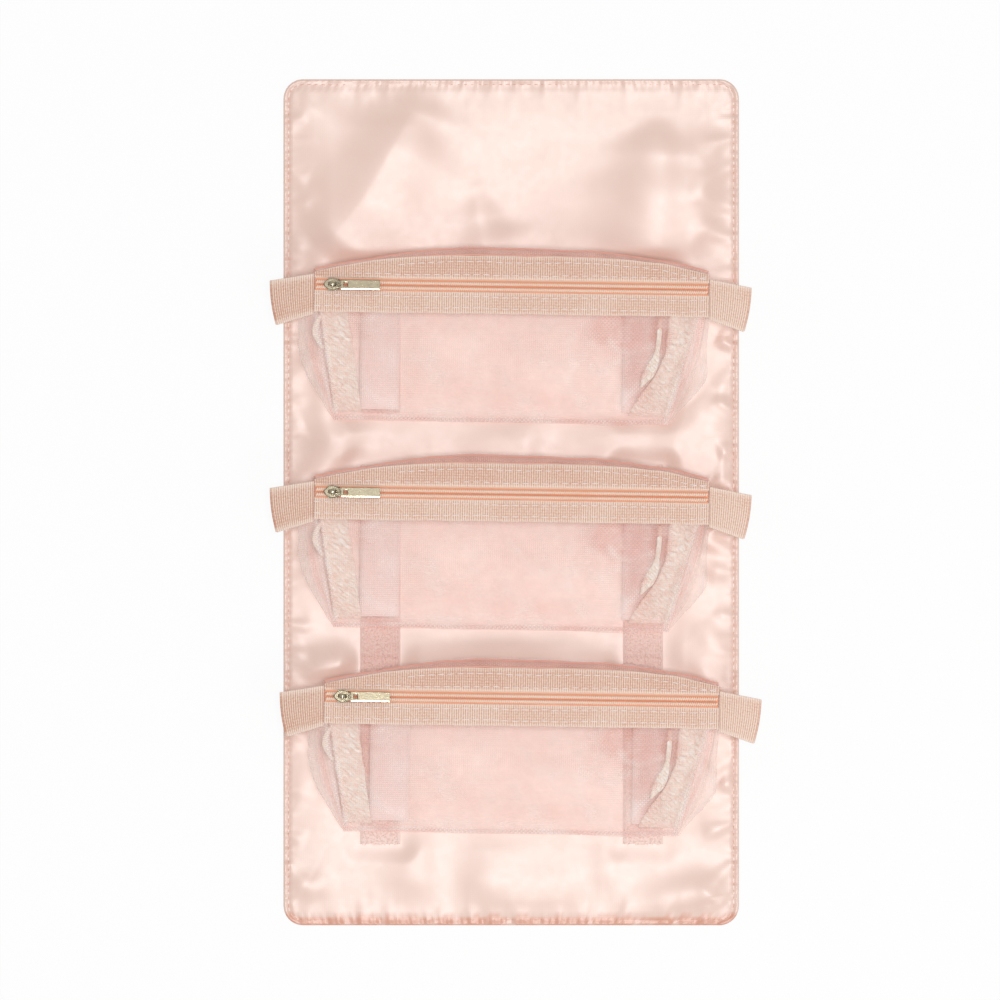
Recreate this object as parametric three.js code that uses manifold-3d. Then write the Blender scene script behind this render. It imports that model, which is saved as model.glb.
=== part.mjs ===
// A roll-up travel toiletry bag, laid open: a satin mat with three mesh zip pouches on it.
// Millimetres. X runs across the mat, Y up it towards the flap, Z out of it towards the user.
// The origin is the centre of the mat's back.
import * as THREE from "three";
import { mergeVertices } from "three/addons/utils/BufferGeometryUtils.js";
import Module from "manifold-3d";

// The mat: four stitched sections that fold on each other
const mat_width = 280;
const mat_length = 520;
const mat_thickness = 1.6;
const mat_corner_radius = 12;
const flap_length = 97.6;
const section_1_length = 120.4;
const section_2_length = 124.8;
const fold_gap = 0.4;

// The hook-and-loop strips: loop strips on the mat, hook strips on the pouches
const strip_width = 24;
const strip_thickness = 1.2;
const strip_left_inset = 40.5;
const strip_right_inset = 40;
const loop_1_top_inset = 12.4;
const loop_1_length = 95;
const loop_2_top_inset = 20;
const loop_3_length = 125.5;
const loop_fold_margin = 1.6;
const hook_above_chain = 16;
const hook_length = 92;
const press_gap = 0.1;

// The pouches' places: the chain's distance below the fold above it, and the shift across the mat
const pouch_1_below_fold = 30.4;
const pouch_2_below_fold = 37.3;
const pouch_3_below_fold = 37.9;
const pouch_1_shift = 0.3;
const pouch_2_shift = 0.3;
const pouch_3_shift = 6.4;
const pouch_turn_deg = -0.85;

// Soft layers: their thickness and the distance kept between two of them
const mesh_thickness = 0.8;
const webbing_thickness = 1;
const tape_thickness = 0.7;
const sew_gap = 0.3;
const seam_step = 0.8;

// The zip panel, as high as the webbing's underside lies over the hook strips' backs
const panel_height = 26.6;
const panel_half_length = 121;
const webbing_inner_edge = 3;
const webbing_lower_edge = -16.3;
const webbing_upper_left = 8.4;
const webbing_upper_right = 10.7;
const webbing_upper_rise = 9.8;
const webbing_droop = 0.8;
const droop_power = 4;
const lens_power = 2.3;

// The zip: two tapes with a coil row each, and the slot that the slider's neck runs in
const chain_half_width = 2.75;
const chain_height = 1.9;
const chain_edge = 0.6;
const neck_slot = 1.2;
const tape_half_width = 6;
const tape_end_inset = 2.4;

// The mesh body: back panel, front panel, end gussets and the ribbons on their seams.
// The insets are measured inwards from the zip panel's ends: the body hangs a little to the left
const bottom_seam = -83;
const bottom_left_inset = 13;
const bottom_right_inset = 24;
const front_top = -9;
const front_bulge = 2;
const front_bottom_gap = 1.2;
const seam_left_inset = 1.5;
const seam_right_inset = 3;
const rear_beyond_left = 1.2;
const rear_beyond_right = 3.9;
const rear_rise = 12.6;
const rear_left_overhang = 1;
const belly_left = 9.4;
const belly_right = 6;
const gusset_bulge_left = 10.5;
const gusset_bulge_right = 5.5;
const ribbon_width = 16.6;
const ribbon_inset = 1;
const ribbon_top_share = 0.12;
const ribbon_bottom_share = 0.92;

// The pull tabs at the zip's ends: webbing folded flat on itself
const tab_length = 26;
const tab_inner_width = 24;
const tab_outer_width = 26.5;
const tab_middle = -5.8;
const tab_drop = 5.8;
const tab_lean = 4;
const tab_sag = 6;
const tab_gap = 0.4;
const tab_layer_gap = 0.4;
const tab_below_webbing = 0.4;

// The slider: two plates round the chain, a neck between the coil rows and a bridge for the pull
const slider_length = 10;
const slider_front_width = 7.7;
const slider_rear_width = 6.2;
const slider_nose = 2.4;
const slider_plate = 1.2;
const slider_from_end = 11;
const slider_lip = 0.6;
const neck_thickness = 0.6;
const neck_length = 3;
const running_gap = 0.3;
const bridge_length = 5.4;
const bridge_width = 2.2;
const bridge_wall = 0.7;
const bridge_opening = 2.4;

// The pull: a link round the bridge and a flat bar with a window
const pull_thickness = 1.2;
const pull_length = 24.6;
const pull_width = 5.9;
const link_length = 6.6;
const link_rail = 0.9;
const link_bar = 1.2;
const window_side = 2.7;
const window_inset = 1.6;
const pull_tilt_deg = 3;

const wasm = await Module();
wasm.setup();

const { lerp, degToRad } = THREE.MathUtils;

const materials = {
  satin: new THREE.MeshStandardMaterial({ color: "#f6ded6", roughness: 0.45, metalness: 0 }),
  mesh: new THREE.MeshStandardMaterial({ color: "#f0cfc8", roughness: 0.6, metalness: 0 }),
  webbing: new THREE.MeshStandardMaterial({ color: "#deb6a1", roughness: 0.75, metalness: 0 }),
  ribbon: new THREE.MeshStandardMaterial({ color: "#edd2c6", roughness: 0.4, metalness: 0 }),
  zip: new THREE.MeshStandardMaterial({ color: "#efbba1", roughness: 0.5, metalness: 0 }),
  strip: new THREE.MeshStandardMaterial({ color: "#e3b2a6", roughness: 0.95, metalness: 0 }),
  nickel: new THREE.MeshStandardMaterial({ color: "#c8c3af", roughness: 0.3, metalness: 1 }),
};

function named(name, geometry, material) {
  const mesh = new THREE.Mesh(geometry, material);
  mesh.name = name;
  return mesh;
}

// A closed geometry as a solid that can be joined or cut
function solidOf(geometry) {
  const bare = geometry.clone();
  bare.deleteAttribute("normal");
  bare.deleteAttribute("uv");
  const merged = mergeVertices(bare);
  const vertProperties = merged.attributes.position.array;
  const triVerts = new Uint32Array(merged.index.array);
  return new wasm.Manifold(new wasm.Mesh({ numProp: 3, vertProperties, triVerts }));
}

function geometryOf(solid) {
  const { vertProperties, triVerts } = solid.getMesh();
  const geometry = new THREE.BufferGeometry();
  geometry.setAttribute("position", new THREE.BufferAttribute(vertProperties, 3));
  geometry.setIndex(new THREE.BufferAttribute(triVerts, 1));
  geometry.computeVertexNormals();
  return geometry;
}

function joined(geometries) {
  return geometryOf(geometries.map(solidOf).reduce((whole, next) => whole.add(next)));
}

function boxBetween(low, high) {
  const size = new THREE.Vector3().subVectors(high, low);
  const middle = new THREE.Vector3().addVectors(low, high).multiplyScalar(1 / 2);
  return new THREE.BoxGeometry(size.x, size.y, size.z).translate(middle.x, middle.y, middle.z);
}

// A cloth sheet of even thickness about a grid of points on its middle surface
function sheet(pointAt, columns, rows, thickness) {
  const middle = (i, j) => pointAt(THREE.MathUtils.clamp(i, 0, columns), THREE.MathUtils.clamp(j, 0, rows));
  const faces = [];
  const positions = [];
  const stride = rows + 1;
  for (const side of [1, -1]) {
    for (let i = 0; i <= columns; i++) {
      for (let j = 0; j <= rows; j++) {
        const along = middle(i + 1, j).sub(middle(i - 1, j));
        const across = middle(i, j + 1).sub(middle(i, j - 1));
        const normal = along.cross(across).normalize();
        positions.push(...middle(i, j).addScaledVector(normal, (side * thickness) / 2).toArray());
      }
    }
  }
  const front = (i, j) => i * stride + j;
  const back = (i, j) => (columns + 1) * stride + front(i, j);
  const quad = (a, b, c, d) => faces.push(a, b, c, a, c, d);
  for (let i = 0; i < columns; i++) {
    for (let j = 0; j < rows; j++) {
      quad(front(i, j), front(i + 1, j), front(i + 1, j + 1), front(i, j + 1));
      quad(back(i, j), back(i, j + 1), back(i + 1, j + 1), back(i + 1, j));
    }
  }
  for (let i = 0; i < columns; i++) {
    quad(front(i, 0), back(i, 0), back(i + 1, 0), front(i + 1, 0));
    quad(front(i + 1, rows), back(i + 1, rows), back(i, rows), front(i, rows));
  }
  for (let j = 0; j < rows; j++) {
    quad(front(0, j + 1), back(0, j + 1), back(0, j), front(0, j));
    quad(front(columns, j), back(columns, j), back(columns, j + 1), front(columns, j + 1));
  }
  const geometry = new THREE.BufferGeometry();
  geometry.setAttribute("position", new THREE.Float32BufferAttribute(positions, 3));
  geometry.setIndex(faces);
  geometry.computeVertexNormals();
  return geometry;
}

// The mat

const fold_1 = mat_length / 2 - flap_length;
const fold_2 = fold_1 - section_1_length;
const fold_3 = fold_2 - section_2_length;

// A rectangle of the mat between two heights, with round corners at the end that is the mat's own
function matSection(name, low, high, round_top, round_bottom) {
  const half = mat_width / 2;
  const top = round_top ? mat_corner_radius : 0;
  const bottom = round_bottom ? mat_corner_radius : 0;
  const outline = new THREE.Shape();
  outline.moveTo(-half + bottom, low);
  outline.lineTo(half - bottom, low);
  if (bottom) outline.absarc(half - bottom, low + bottom, bottom, -Math.PI / 2, 0);
  outline.lineTo(half, high - top);
  if (top) outline.absarc(half - top, high - top, top, 0, Math.PI / 2);
  outline.lineTo(-half + top, high);
  if (top) outline.absarc(-half + top, high - top, top, Math.PI / 2, Math.PI);
  outline.lineTo(-half, low + bottom);
  if (bottom) outline.absarc(-half + bottom, low + bottom, bottom, Math.PI, 1.5 * Math.PI);
  const solid = new THREE.ExtrudeGeometry(outline, {
    depth: mat_thickness,
    bevelEnabled: false,
    curveSegments: 8,
  });
  return named(name, solid, materials.satin);
}

function mat() {
  const half_gap = fold_gap / 2;
  const group = new THREE.Group();
  group.add(matSection("mat_flap", fold_1 + half_gap, mat_length / 2, true, false));
  group.add(matSection("mat_section_1", fold_2 + half_gap, fold_1 - half_gap, false, false));
  group.add(matSection("mat_section_2", fold_3 + half_gap, fold_2 - half_gap, false, false));
  group.add(matSection("mat_section_3", -mat_length / 2, fold_3 - half_gap, false, true));
  return group;
}

// The strips stand in from the zip panel's ends
const strip_left_x = strip_left_inset - panel_half_length;
const strip_right_x = panel_half_length - strip_right_inset;

function strip(name, x, low, high, bottom) {
  const left = x - strip_width / 2;
  const solid = boxBetween(
    new THREE.Vector3(left, low, bottom),
    new THREE.Vector3(left + strip_width, high, bottom + strip_thickness),
  );
  return named(name, solid, materials.strip);
}

function loopStrips() {
  const spans = [
    [fold_1 - loop_1_top_inset - loop_1_length, fold_1 - loop_1_top_inset],
    [fold_3 + loop_fold_margin, fold_2 - loop_2_top_inset],
    [fold_3 - loop_fold_margin - loop_3_length, fold_3 - loop_fold_margin],
  ];
  const group = new THREE.Group();
  spans.forEach(([low, high], index) => {
    const number = index + 1;
    group.add(strip(`loop_strip_${number}_left`, strip_left_x, low, high, mat_thickness));
    group.add(strip(`loop_strip_${number}_right`, strip_right_x, low, high, mat_thickness));
  });
  return group;
}

// The pouch's curves, in its own frame: X along the chain, Y up the mat, Z off the mat,
// with the chain at y = 0 and the backs of the hook strips at z = 0

const back_level = strip_thickness + sew_gap + mesh_thickness / 2;
const front_level = back_level + front_bottom_gap;
const seat_level = panel_height - webbing_droop - sew_gap;
const front_top_level = seat_level - mesh_thickness / 2;
const tape_top = panel_height - sew_gap;
const tape_bottom = tape_top - tape_thickness;
const chain_top = tape_top + chain_height;

// How far the zip panel's and the rear edge's arch has risen at a share of the pouch's length
const arch = (share) => 1 - Math.abs(2 * share - 1) ** lens_power;
const panelX = (share) => lerp(-panel_half_length, panel_half_length, share);
const webbingTop = (share) =>
  lerp(webbing_upper_left, webbing_upper_right, share) + webbing_upper_rise * arch(share);
const rear_left = webbing_upper_left + rear_beyond_left;
const rear_right = webbing_upper_right + rear_beyond_right;
const rearEdge = (share) => lerp(rear_left, rear_right, share) + rear_rise * arch(share);

// The front mesh: its height at y, and the seams at its two sides
const frontShare = (y) => THREE.MathUtils.clamp((front_top - y) / (front_top - bottom_seam), 0, 1);
function frontLevel(y) {
  const share = frontShare(y);
  return lerp(front_top_level, front_level, share) + front_bulge * Math.sin(Math.PI * share);
}
const seam_top_left = seam_left_inset - panel_half_length;
const seam_top_right = panel_half_length - seam_right_inset;
const bottom_left = bottom_left_inset - panel_half_length;
const bottom_right = panel_half_length - bottom_right_inset;
const seams = {
  left: (y) => lerp(seam_top_left, bottom_left, frontShare(y)),
  right: (y) => lerp(seam_top_right, bottom_right, frontShare(y)),
};

// The back panel's sides, from the bottom seam at share 0 to the rear edge at share 1
const rear_left_end = -panel_half_length - rear_left_overhang;
const backSides = {
  left: (share) => lerp(bottom_left, rear_left_end, share) - belly_left * Math.sin(Math.PI * share),
  right: (share) => lerp(bottom_right, panel_half_length, share) + belly_right * Math.sin(Math.PI * share),
};

function frontMesh() {
  const columns = 12;
  const rows = 8;
  return sheet(
    (i, j) => {
      const y = lerp(bottom_seam, front_top, j / rows);
      return new THREE.Vector3(lerp(seams.left(y), seams.right(y), i / columns), y, frontLevel(y));
    },
    columns,
    rows,
    mesh_thickness,
  );
}

// The back panel lies on the strips and turns up behind the zip panel in one piece of mesh
function backMesh() {
  const columns = 12;
  const flat_rows = 5;
  const rise_rows = 4;
  return sheet(
    (i, j) => {
      const share = i / columns;
      const along = Math.min(j / flat_rows, 1);
      const up = Math.max(j - flat_rows, 0) / rise_rows;
      const foot = lerp(bottom_seam, rearEdge(share), along);
      const x = lerp(backSides.left(along), backSides.right(along), share);
      return new THREE.Vector3(
        lerp(x, lerp(seam_top_left, seam_top_right, share), up),
        lerp(foot, webbingTop(share) - webbing_thickness, up),
        lerp(back_level, seat_level, up),
      );
    },
    columns,
    flat_rows + rise_rows,
    mesh_thickness,
  );
}

// An end gusset: from the zip panel's end and the front seam down to the back panel's side
function gusset(side) {
  const columns = 12;
  const rows = 6;
  const outward = side === "left" ? -1 : 1;
  const end_share = side === "left" ? 0 : 1;
  const bulge = side === "left" ? gusset_bulge_left : gusset_bulge_right;
  const top_y = webbingTop(end_share) - webbing_thickness - seam_step;
  const foot_y = rearEdge(end_share) - seam_step;
  const reach = rearEdge(end_share) - bottom_seam;
  return sheet(
    (i, j) => {
      const along = i / columns;
      const down = outward > 0 ? 1 - j / rows : j / rows;
      const y = lerp(lerp(top_y, foot_y, down), bottom_seam, along);
      const upper_x = seams[side](y) + outward * seam_step;
      const lower_x = backSides[side]((y - bottom_seam) / reach) + outward * seam_step;
      const swell = bulge * Math.sin(Math.PI * down) * Math.sin(Math.PI * along);
      return new THREE.Vector3(
        lerp(upper_x, lower_x, down) + outward * swell,
        y,
        lerp(frontLevel(y), back_level, down),
      );
    },
    columns,
    rows,
    mesh_thickness,
  );
}

// A ribbon that binds the front seam on the inside, one layer below the front mesh
function seamRibbon(side) {
  const columns = 2;
  const rows = 8;
  const inward = side === "left" ? 1 : -1;
  return sheet(
    (i, j) => {
      const share = lerp(ribbon_bottom_share, ribbon_top_share, j / rows);
      const y = lerp(front_top, bottom_seam, share);
      const across = ribbon_inset + ribbon_width * (inward > 0 ? i / columns : 1 - i / columns);
      const level = frontLevel(y) - mesh_thickness - sew_gap;
      return new THREE.Vector3(seams[side](y) + inward * across, y, level);
    },
    columns,
    rows,
    mesh_thickness,
  );
}

// Half of the zip panel's webbing, which droops a little towards its outer edge
function webbing(outerEdge, sign) {
  const columns = 16;
  const rows = 4;
  return sheet(
    (i, j) => {
      const share = i / columns;
      const inner = sign * webbing_inner_edge;
      const across = sign > 0 ? j / rows : 1 - j / rows;
      const level = panel_height + webbing_thickness / 2 - webbing_droop * across ** droop_power;
      return new THREE.Vector3(panelX(share), lerp(inner, outerEdge(share), across), level);
    },
    columns,
    rows,
    webbing_thickness,
  );
}

// One side of the zip: the tape and its coil row in one section, run along the chain
function zipHalf(sign) {
  const half_slot = neck_slot / 2;
  const section = new THREE.Shape();
  section.moveTo(half_slot, tape_bottom);
  section.lineTo(tape_half_width, tape_bottom);
  section.lineTo(tape_half_width, tape_top);
  section.lineTo(chain_half_width, tape_top);
  section.lineTo(chain_half_width, chain_top - chain_edge);
  section.lineTo(chain_half_width - chain_edge, chain_top);
  section.lineTo(half_slot, chain_top);
  section.closePath();
  const length = 2 * (panel_half_length - tape_end_inset);
  const solid = new THREE.ExtrudeGeometry(section, { depth: length, bevelEnabled: false });
  // The section's x becomes the pouch's y, its y the pouch's z, and the run the pouch's x
  const turn = new THREE.Matrix4().makeBasis(
    new THREE.Vector3(0, 1, 0),
    new THREE.Vector3(0, 0, 1),
    new THREE.Vector3(1, 0, 0),
  );
  solid.applyMatrix4(turn).translate(-length / 2, 0, 0);
  return sign > 0 ? solid : solid.rotateZ(Math.PI);
}

// A pull tab: a strip of webbing folded at its outer end, both layers held at the zip's end
function pullTab(outward) {
  const columns = 4;
  const fold_radius = (webbing_thickness + tab_layer_gap) / 2;
  const level = panel_height + webbing_thickness / 2 - tab_below_webbing - fold_radius;
  // Out along the upper layer, round the fold in quarter steps of its half turn, back along the lower
  const layer_shares = [0, 0.5, 1];
  const turn_shares = [0.25, 0.5, 0.75];
  const upper = layer_shares.map((share) => ({ share, beyond: 0, lift: fold_radius }));
  const turn = turn_shares.map((turn_share) => ({
    share: 1,
    beyond: fold_radius * Math.sin(Math.PI * turn_share),
    lift: fold_radius * Math.cos(Math.PI * turn_share),
  }));
  const lower = layer_shares.toReversed().map((share) => ({ share, beyond: 0, lift: -fold_radius }));
  const stations = [...upper, ...turn, ...lower];
  const rows = stations.length - 1;
  return sheet(
    (i, j) => {
      const { share, beyond, lift } = stations[j];
      const side = outward > 0 ? 1 - i / columns : i / columns;
      const width = lerp(tab_inner_width, tab_outer_width, share);
      const out = (tab_length - tab_lean * side) * share + beyond;
      return new THREE.Vector3(
        outward * (panel_half_length + tab_gap + out),
        tab_middle - tab_drop * share + width * (1 / 2 - side),
        level - tab_sag * share + lift,
      );
    },
    columns,
    rows,
    webbing_thickness,
  );
}

// The slider, about its own middle on the chain
function sliderBody() {
  const under = tape_bottom - running_gap;
  const over = chain_top + running_gap;
  const top = over + slider_plate;
  const half = slider_length / 2;
  const front = slider_front_width / 2;
  const rear = slider_rear_width / 2;
  const outline = [
    [-half, front - slider_nose],
    [-half + slider_nose, front],
    [half, rear],
    [half, -rear],
    [-half + slider_nose, -front],
    [-half, slider_nose - front],
  ].map(([x, y]) => new THREE.Vector2(x, y));
  const plate = (bottom) =>
    new THREE.ExtrudeGeometry(new THREE.Shape(outline), {
      depth: slider_plate,
      bevelEnabled: false,
    }).translate(0, 0, bottom);
  // The lips turn down over the coil rows and stop clear of the webbing
  const lip = (sign) => {
    const inner = chain_half_width + running_gap;
    const edge = new THREE.Shape();
    edge.moveTo(-half + slider_nose, sign * inner);
    edge.lineTo(half, sign * inner);
    edge.lineTo(half, sign * rear);
    edge.lineTo(-half + slider_nose, sign * front);
    edge.closePath();
    return new THREE.ExtrudeGeometry(edge, {
      depth: slider_lip + slider_plate,
      bevelEnabled: false,
    }).translate(0, 0, over - slider_lip);
  };
  const neck = boxBetween(
    new THREE.Vector3(-half + slider_nose / 2, -neck_thickness / 2, under - slider_plate / 2),
    new THREE.Vector3(-half + slider_nose / 2 + neck_length, neck_thickness / 2, over + slider_plate / 2),
  );
  const bridge_half = bridge_length / 2;
  const profile = new THREE.Shape();
  profile.moveTo(-bridge_half, top - slider_plate / 2);
  profile.lineTo(-bridge_half, top + bridge_opening);
  profile.lineTo(-bridge_half + bridge_wall, top + bridge_opening + bridge_wall);
  profile.lineTo(bridge_half - bridge_wall, top + bridge_opening + bridge_wall);
  profile.lineTo(bridge_half, top + bridge_opening);
  profile.lineTo(bridge_half, top - slider_plate / 2);
  profile.lineTo(bridge_half - bridge_wall, top - slider_plate / 2);
  profile.lineTo(bridge_half - bridge_wall, top + bridge_opening);
  profile.lineTo(bridge_wall - bridge_half, top + bridge_opening);
  profile.lineTo(bridge_wall - bridge_half, top - slider_plate / 2);
  profile.closePath();
  const bridge = new THREE.ExtrudeGeometry(profile, { depth: bridge_width, bevelEnabled: false })
    .rotateX(Math.PI / 2)
    .translate(0, bridge_width / 2, 0);
  return joined([plate(under - slider_plate), plate(over), lip(1), lip(-1), neck, bridge]);
}

const pull_axis_level = chain_top + running_gap + slider_plate + bridge_opening / 2;

function rectangle(low_x, high_x, half_width) {
  const path = new THREE.Path();
  path.moveTo(low_x, -half_width);
  path.lineTo(low_x, half_width);
  path.lineTo(high_x, half_width);
  path.lineTo(high_x, -half_width);
  path.closePath();
  return path;
}

// The pull, about its axis under the bridge, lying along the chain
function pullBar() {
  const half_bar = link_bar / 2;
  const link_half = bridge_width / 2 + running_gap + link_rail;
  const pull_half = pull_width / 2;
  const outline = new THREE.Shape();
  outline.moveTo(-half_bar, -link_half);
  outline.lineTo(link_length, -link_half);
  outline.lineTo(link_length, -pull_half);
  outline.lineTo(link_length + pull_length, -pull_half);
  outline.lineTo(link_length + pull_length, pull_half);
  outline.lineTo(link_length, pull_half);
  outline.lineTo(link_length, link_half);
  outline.lineTo(-half_bar, link_half);
  outline.closePath();
  const window_start = link_length + window_inset;
  outline.holes.push(
    rectangle(half_bar, link_length, link_half - link_rail),
    rectangle(window_start, window_start + window_side, window_side / 2),
  );
  return new THREE.ExtrudeGeometry(outline, {
    depth: pull_thickness,
    bevelEnabled: false,
  }).translate(0, 0, -pull_thickness / 2);
}

function pouch(number, fold, below_fold, shift) {
  const label = (piece) => `pouch_${number}_${piece}`;
  const group = new THREE.Group();
  group.position.set(shift, fold - below_fold, mat_thickness + strip_thickness + press_gap);
  group.rotation.z = degToRad(pouch_turn_deg);

  group.add(named(label("front_mesh"), frontMesh(), materials.mesh));
  group.add(named(label("back_mesh"), backMesh(), materials.mesh));
  group.add(named(label("upper_webbing"), webbing(webbingTop, 1), materials.webbing));
  group.add(named(label("lower_webbing"), webbing(() => webbing_lower_edge, -1), materials.webbing));
  group.add(named(label("zip_upper"), zipHalf(1), materials.zip));
  group.add(named(label("zip_lower"), zipHalf(-1), materials.zip));
  for (const [side, outward] of [["left", -1], ["right", 1]]) {
    group.add(named(label(`${side}_gusset`), gusset(side), materials.mesh));
    group.add(named(label(`${side}_ribbon`), seamRibbon(side), materials.ribbon));
    group.add(named(label(`${side}_tab`), pullTab(outward), materials.webbing));
  }
  const hook_bottom = hook_above_chain - hook_length;
  group.add(strip(label("left_hook_strip"), strip_left_x, hook_bottom, hook_above_chain, 0));
  group.add(strip(label("right_hook_strip"), strip_right_x, hook_bottom, hook_above_chain, 0));

  const slider = named(label("slider"), sliderBody(), materials.nickel);
  slider.position.x = slider_from_end - panel_half_length;
  group.add(slider);
  const pull = named(label("pull"), pullBar(), materials.nickel);
  pull.position.set(slider.position.x, 0, pull_axis_level);
  pull.rotation.y = degToRad(pull_tilt_deg);
  group.add(pull);
  return group;
}

const bag = new THREE.Group();
bag.add(mat());
bag.add(loopStrips());
bag.add(pouch(1, fold_1, pouch_1_below_fold, pouch_1_shift));
bag.add(pouch(2, fold_2, pouch_2_below_fold, pouch_2_shift));
bag.add(pouch(3, fold_3, pouch_3_below_fold, pouch_3_shift));

export default bag;
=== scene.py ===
import math

import bmesh
import bpy
import numpy as np
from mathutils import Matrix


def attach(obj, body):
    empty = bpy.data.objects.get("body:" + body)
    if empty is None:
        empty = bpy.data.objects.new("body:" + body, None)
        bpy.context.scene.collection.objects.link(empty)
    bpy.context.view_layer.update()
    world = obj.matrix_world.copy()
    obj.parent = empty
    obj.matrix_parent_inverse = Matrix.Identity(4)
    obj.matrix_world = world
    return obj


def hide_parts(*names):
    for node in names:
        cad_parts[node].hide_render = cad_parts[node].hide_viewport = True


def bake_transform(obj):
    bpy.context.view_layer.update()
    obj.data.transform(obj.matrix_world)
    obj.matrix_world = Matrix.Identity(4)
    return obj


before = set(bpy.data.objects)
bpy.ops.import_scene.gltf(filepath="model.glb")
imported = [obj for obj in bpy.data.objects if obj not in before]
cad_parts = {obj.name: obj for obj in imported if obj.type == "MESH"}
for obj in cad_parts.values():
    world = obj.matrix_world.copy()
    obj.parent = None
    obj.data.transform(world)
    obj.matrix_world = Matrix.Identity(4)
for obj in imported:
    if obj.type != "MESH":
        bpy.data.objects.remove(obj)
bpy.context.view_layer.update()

MM = 0.001

# The mat
MAT_HALF_WIDTH = 140.0
MAT_HALF_LENGTH = 260.0
MAT_THICKNESS = 1.6
MAT_CORNER = 12.0
MAT_RIM = 0.8
MAT_STEP = 1.3
FOLD_LINES = {"flap": 162.4, "upper": 42.0, "lower": -82.8}
MAT_CUTS = (102.2, -20.4)
FOLD_ZONE = 12.0
HEM_STITCH_INSET = 3.2
HEM_STITCH_PITCH = 4.5
# Stitches: how far apart they start, how long each one is, and how thick
STITCHES = {
    "hem": (HEM_STITCH_PITCH, 2.6, 0.55),
    "strip": (3.0, 2.2, 0.45),
    "webbing": (6.0, 4.8, 0.72),
    "seam": (2.6, 2.2, 0.34),
}

# The pouches: where each one's chain crosses its middle, and their shared turn and level
POUCH_PLACES = {1: (0.3, 132.0), 2: (0.3, 4.7), 3: (6.4, -120.7)}
POUCH_LEVEL = 2.9
POUCH_TURN = math.radians(-0.85)

# The zip panel and the mesh body, in a pouch's own frame
PANEL_HALF = 121.0
PANEL_LEVEL = 26.6
BACK_LEVEL = 1.9
FRONT_TOP_LEVEL = 25.1
FRONT_BOTTOM_LEVEL = 3.1
FRONT_TOP = -9.0
BOTTOM_SEAM = -83.0
ZIP_HALF = 120.6
TAPE_LEVEL = 25.95
COIL_LEVEL = 27.15
COIL_PITCH = 1.25
CHAIN_CENTRE = 1.6
STRIP_X = {"left": -80.5, "right": 81.0}
STRIP_WIDTH = 24.0
STRIP_STITCH_INSET = 1.2
HOOK_SPAN = (-76.0, 16.0)
WEBBING = 1.0
WEBBING_DROOP = 0.8
TAB_DROOP = 6.0
RIBBON_WIDTH = 16.6
# The sheer panels' sizes, which say how finely they are divided, and the gussets' width
PANEL_LENGTH = 236
FRONT_DEPTH = 74
BACK_DEPTH = 92
GUSSET_WIDTH = 24
# The margins from a sheer panel's edges to its seam and to the single cloth inside it
SEAM_MARGINS = (0.7, 1.5, 3.0, 3.4)
SEAM = 3.2
# Each half of the zip panel: its edge beside the chain and the stitch row along it. The lower half's
# outer edge is straight, and the outer stitch row stands back from the edge
WEBBING_INNER = {"upper": 4.9, "lower": -3.8}
STITCH_INNER = {"upper": 7.2, "lower": -6.3}
LOWER_EDGE = -16.3
UPPER_HEM = 3.5
LOWER_HEM = 3.0
LOOP_SPANS = {1: (55.0, 150.0), 2: (-81.2, 22.0), 3: (-209.9, -84.4)}
FLAT_END = 140.0
SLIDER_X = -110.0
PULL_AXIS_LEVEL = 30.9
METAL_ROLL = math.radians(-7)


def linear(code):
    """An sRGB hex colour as linear red, green and blue with full opacity."""
    shares = [int(code[i : i + 2], 16) / 255 for i in (1, 3, 5)]
    return (*[s / 12.92 if s <= 0.04045 else ((s + 0.055) / 1.055) ** 2.4 for s in shares], 1.0)


def add(tree, kind, inputs=None, **settings):
    """Adds a node with its settings. An input takes a value, an output, or a node for its first one."""
    made = tree.nodes.new(kind)
    for key, value in settings.items():
        setattr(made, key, value)
    for key, value in (inputs or {}).items():
        if isinstance(value, bpy.types.Node):
            value = next(output for output in value.outputs if output.enabled)
        if isinstance(value, bpy.types.NodeSocket):
            tree.links.new(value, made.inputs[key])
        else:
            made.inputs[key].default_value = value
    return made


# Materials


def start_material(name, **surface):
    """A material with its tree and its Principled node, whose own sockets take the constants."""
    material = bpy.data.materials.new(name)
    material.use_nodes = True
    tree = material.node_tree
    shader = tree.nodes["Principled BSDF"]
    for key, value in surface.items():
        shader.inputs[key.replace("_", " ")].default_value = value
    return material, tree, shader


def cloth_axes(tree):
    """The piece's own millimetres, as a vector and as the way along and across its cloth."""
    vector = add(tree, "ShaderNodeUVMap", uv_map="cloth")
    split = add(tree, "ShaderNodeSeparateXYZ", {0: vector})
    return vector, split.outputs[0], split.outputs[1]


def yarns(tree, axis, pitch, sharpness=1.0):
    """1 on each yarn and 0 half way between two, a pitch of millimetres apart along an axis."""
    turn = add(tree, "ShaderNodeMath", {0: axis, 1: 2 * math.pi / pitch}, operation="MULTIPLY")
    swing = add(tree, "ShaderNodeMath", {0: turn}, operation="COSINE")
    share = add(tree, "ShaderNodeMath", {0: swing, 1: 0.5, 2: 0.5}, operation="MULTIPLY_ADD")
    return add(tree, "ShaderNodeMath", {0: share, 1: sharpness}, operation="POWER")


def dress(tree, shader, share, low, high, relief=None, depth=0.0):
    """Gives a shader its colour between two by a share, and a relief so many millimetres deep.

    Each colour is a hex code or the output of an earlier dress.
    """
    low, high = (linear(c) if isinstance(c, str) else c for c in (low, high))
    colour = {0: share, 6: low, 7: high}
    mixed = add(tree, "ShaderNodeMix", colour, data_type="RGBA", clamp_factor=True)
    tree.links.new(mixed.outputs[2], shader.inputs["Base Color"])
    if relief is not None:
        bump = add(tree, "ShaderNodeBump", {"Height": relief, "Distance": depth * MM})
        tree.links.new(bump.outputs[0], shader.inputs["Normal"])
    return mixed.outputs[2]


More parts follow.
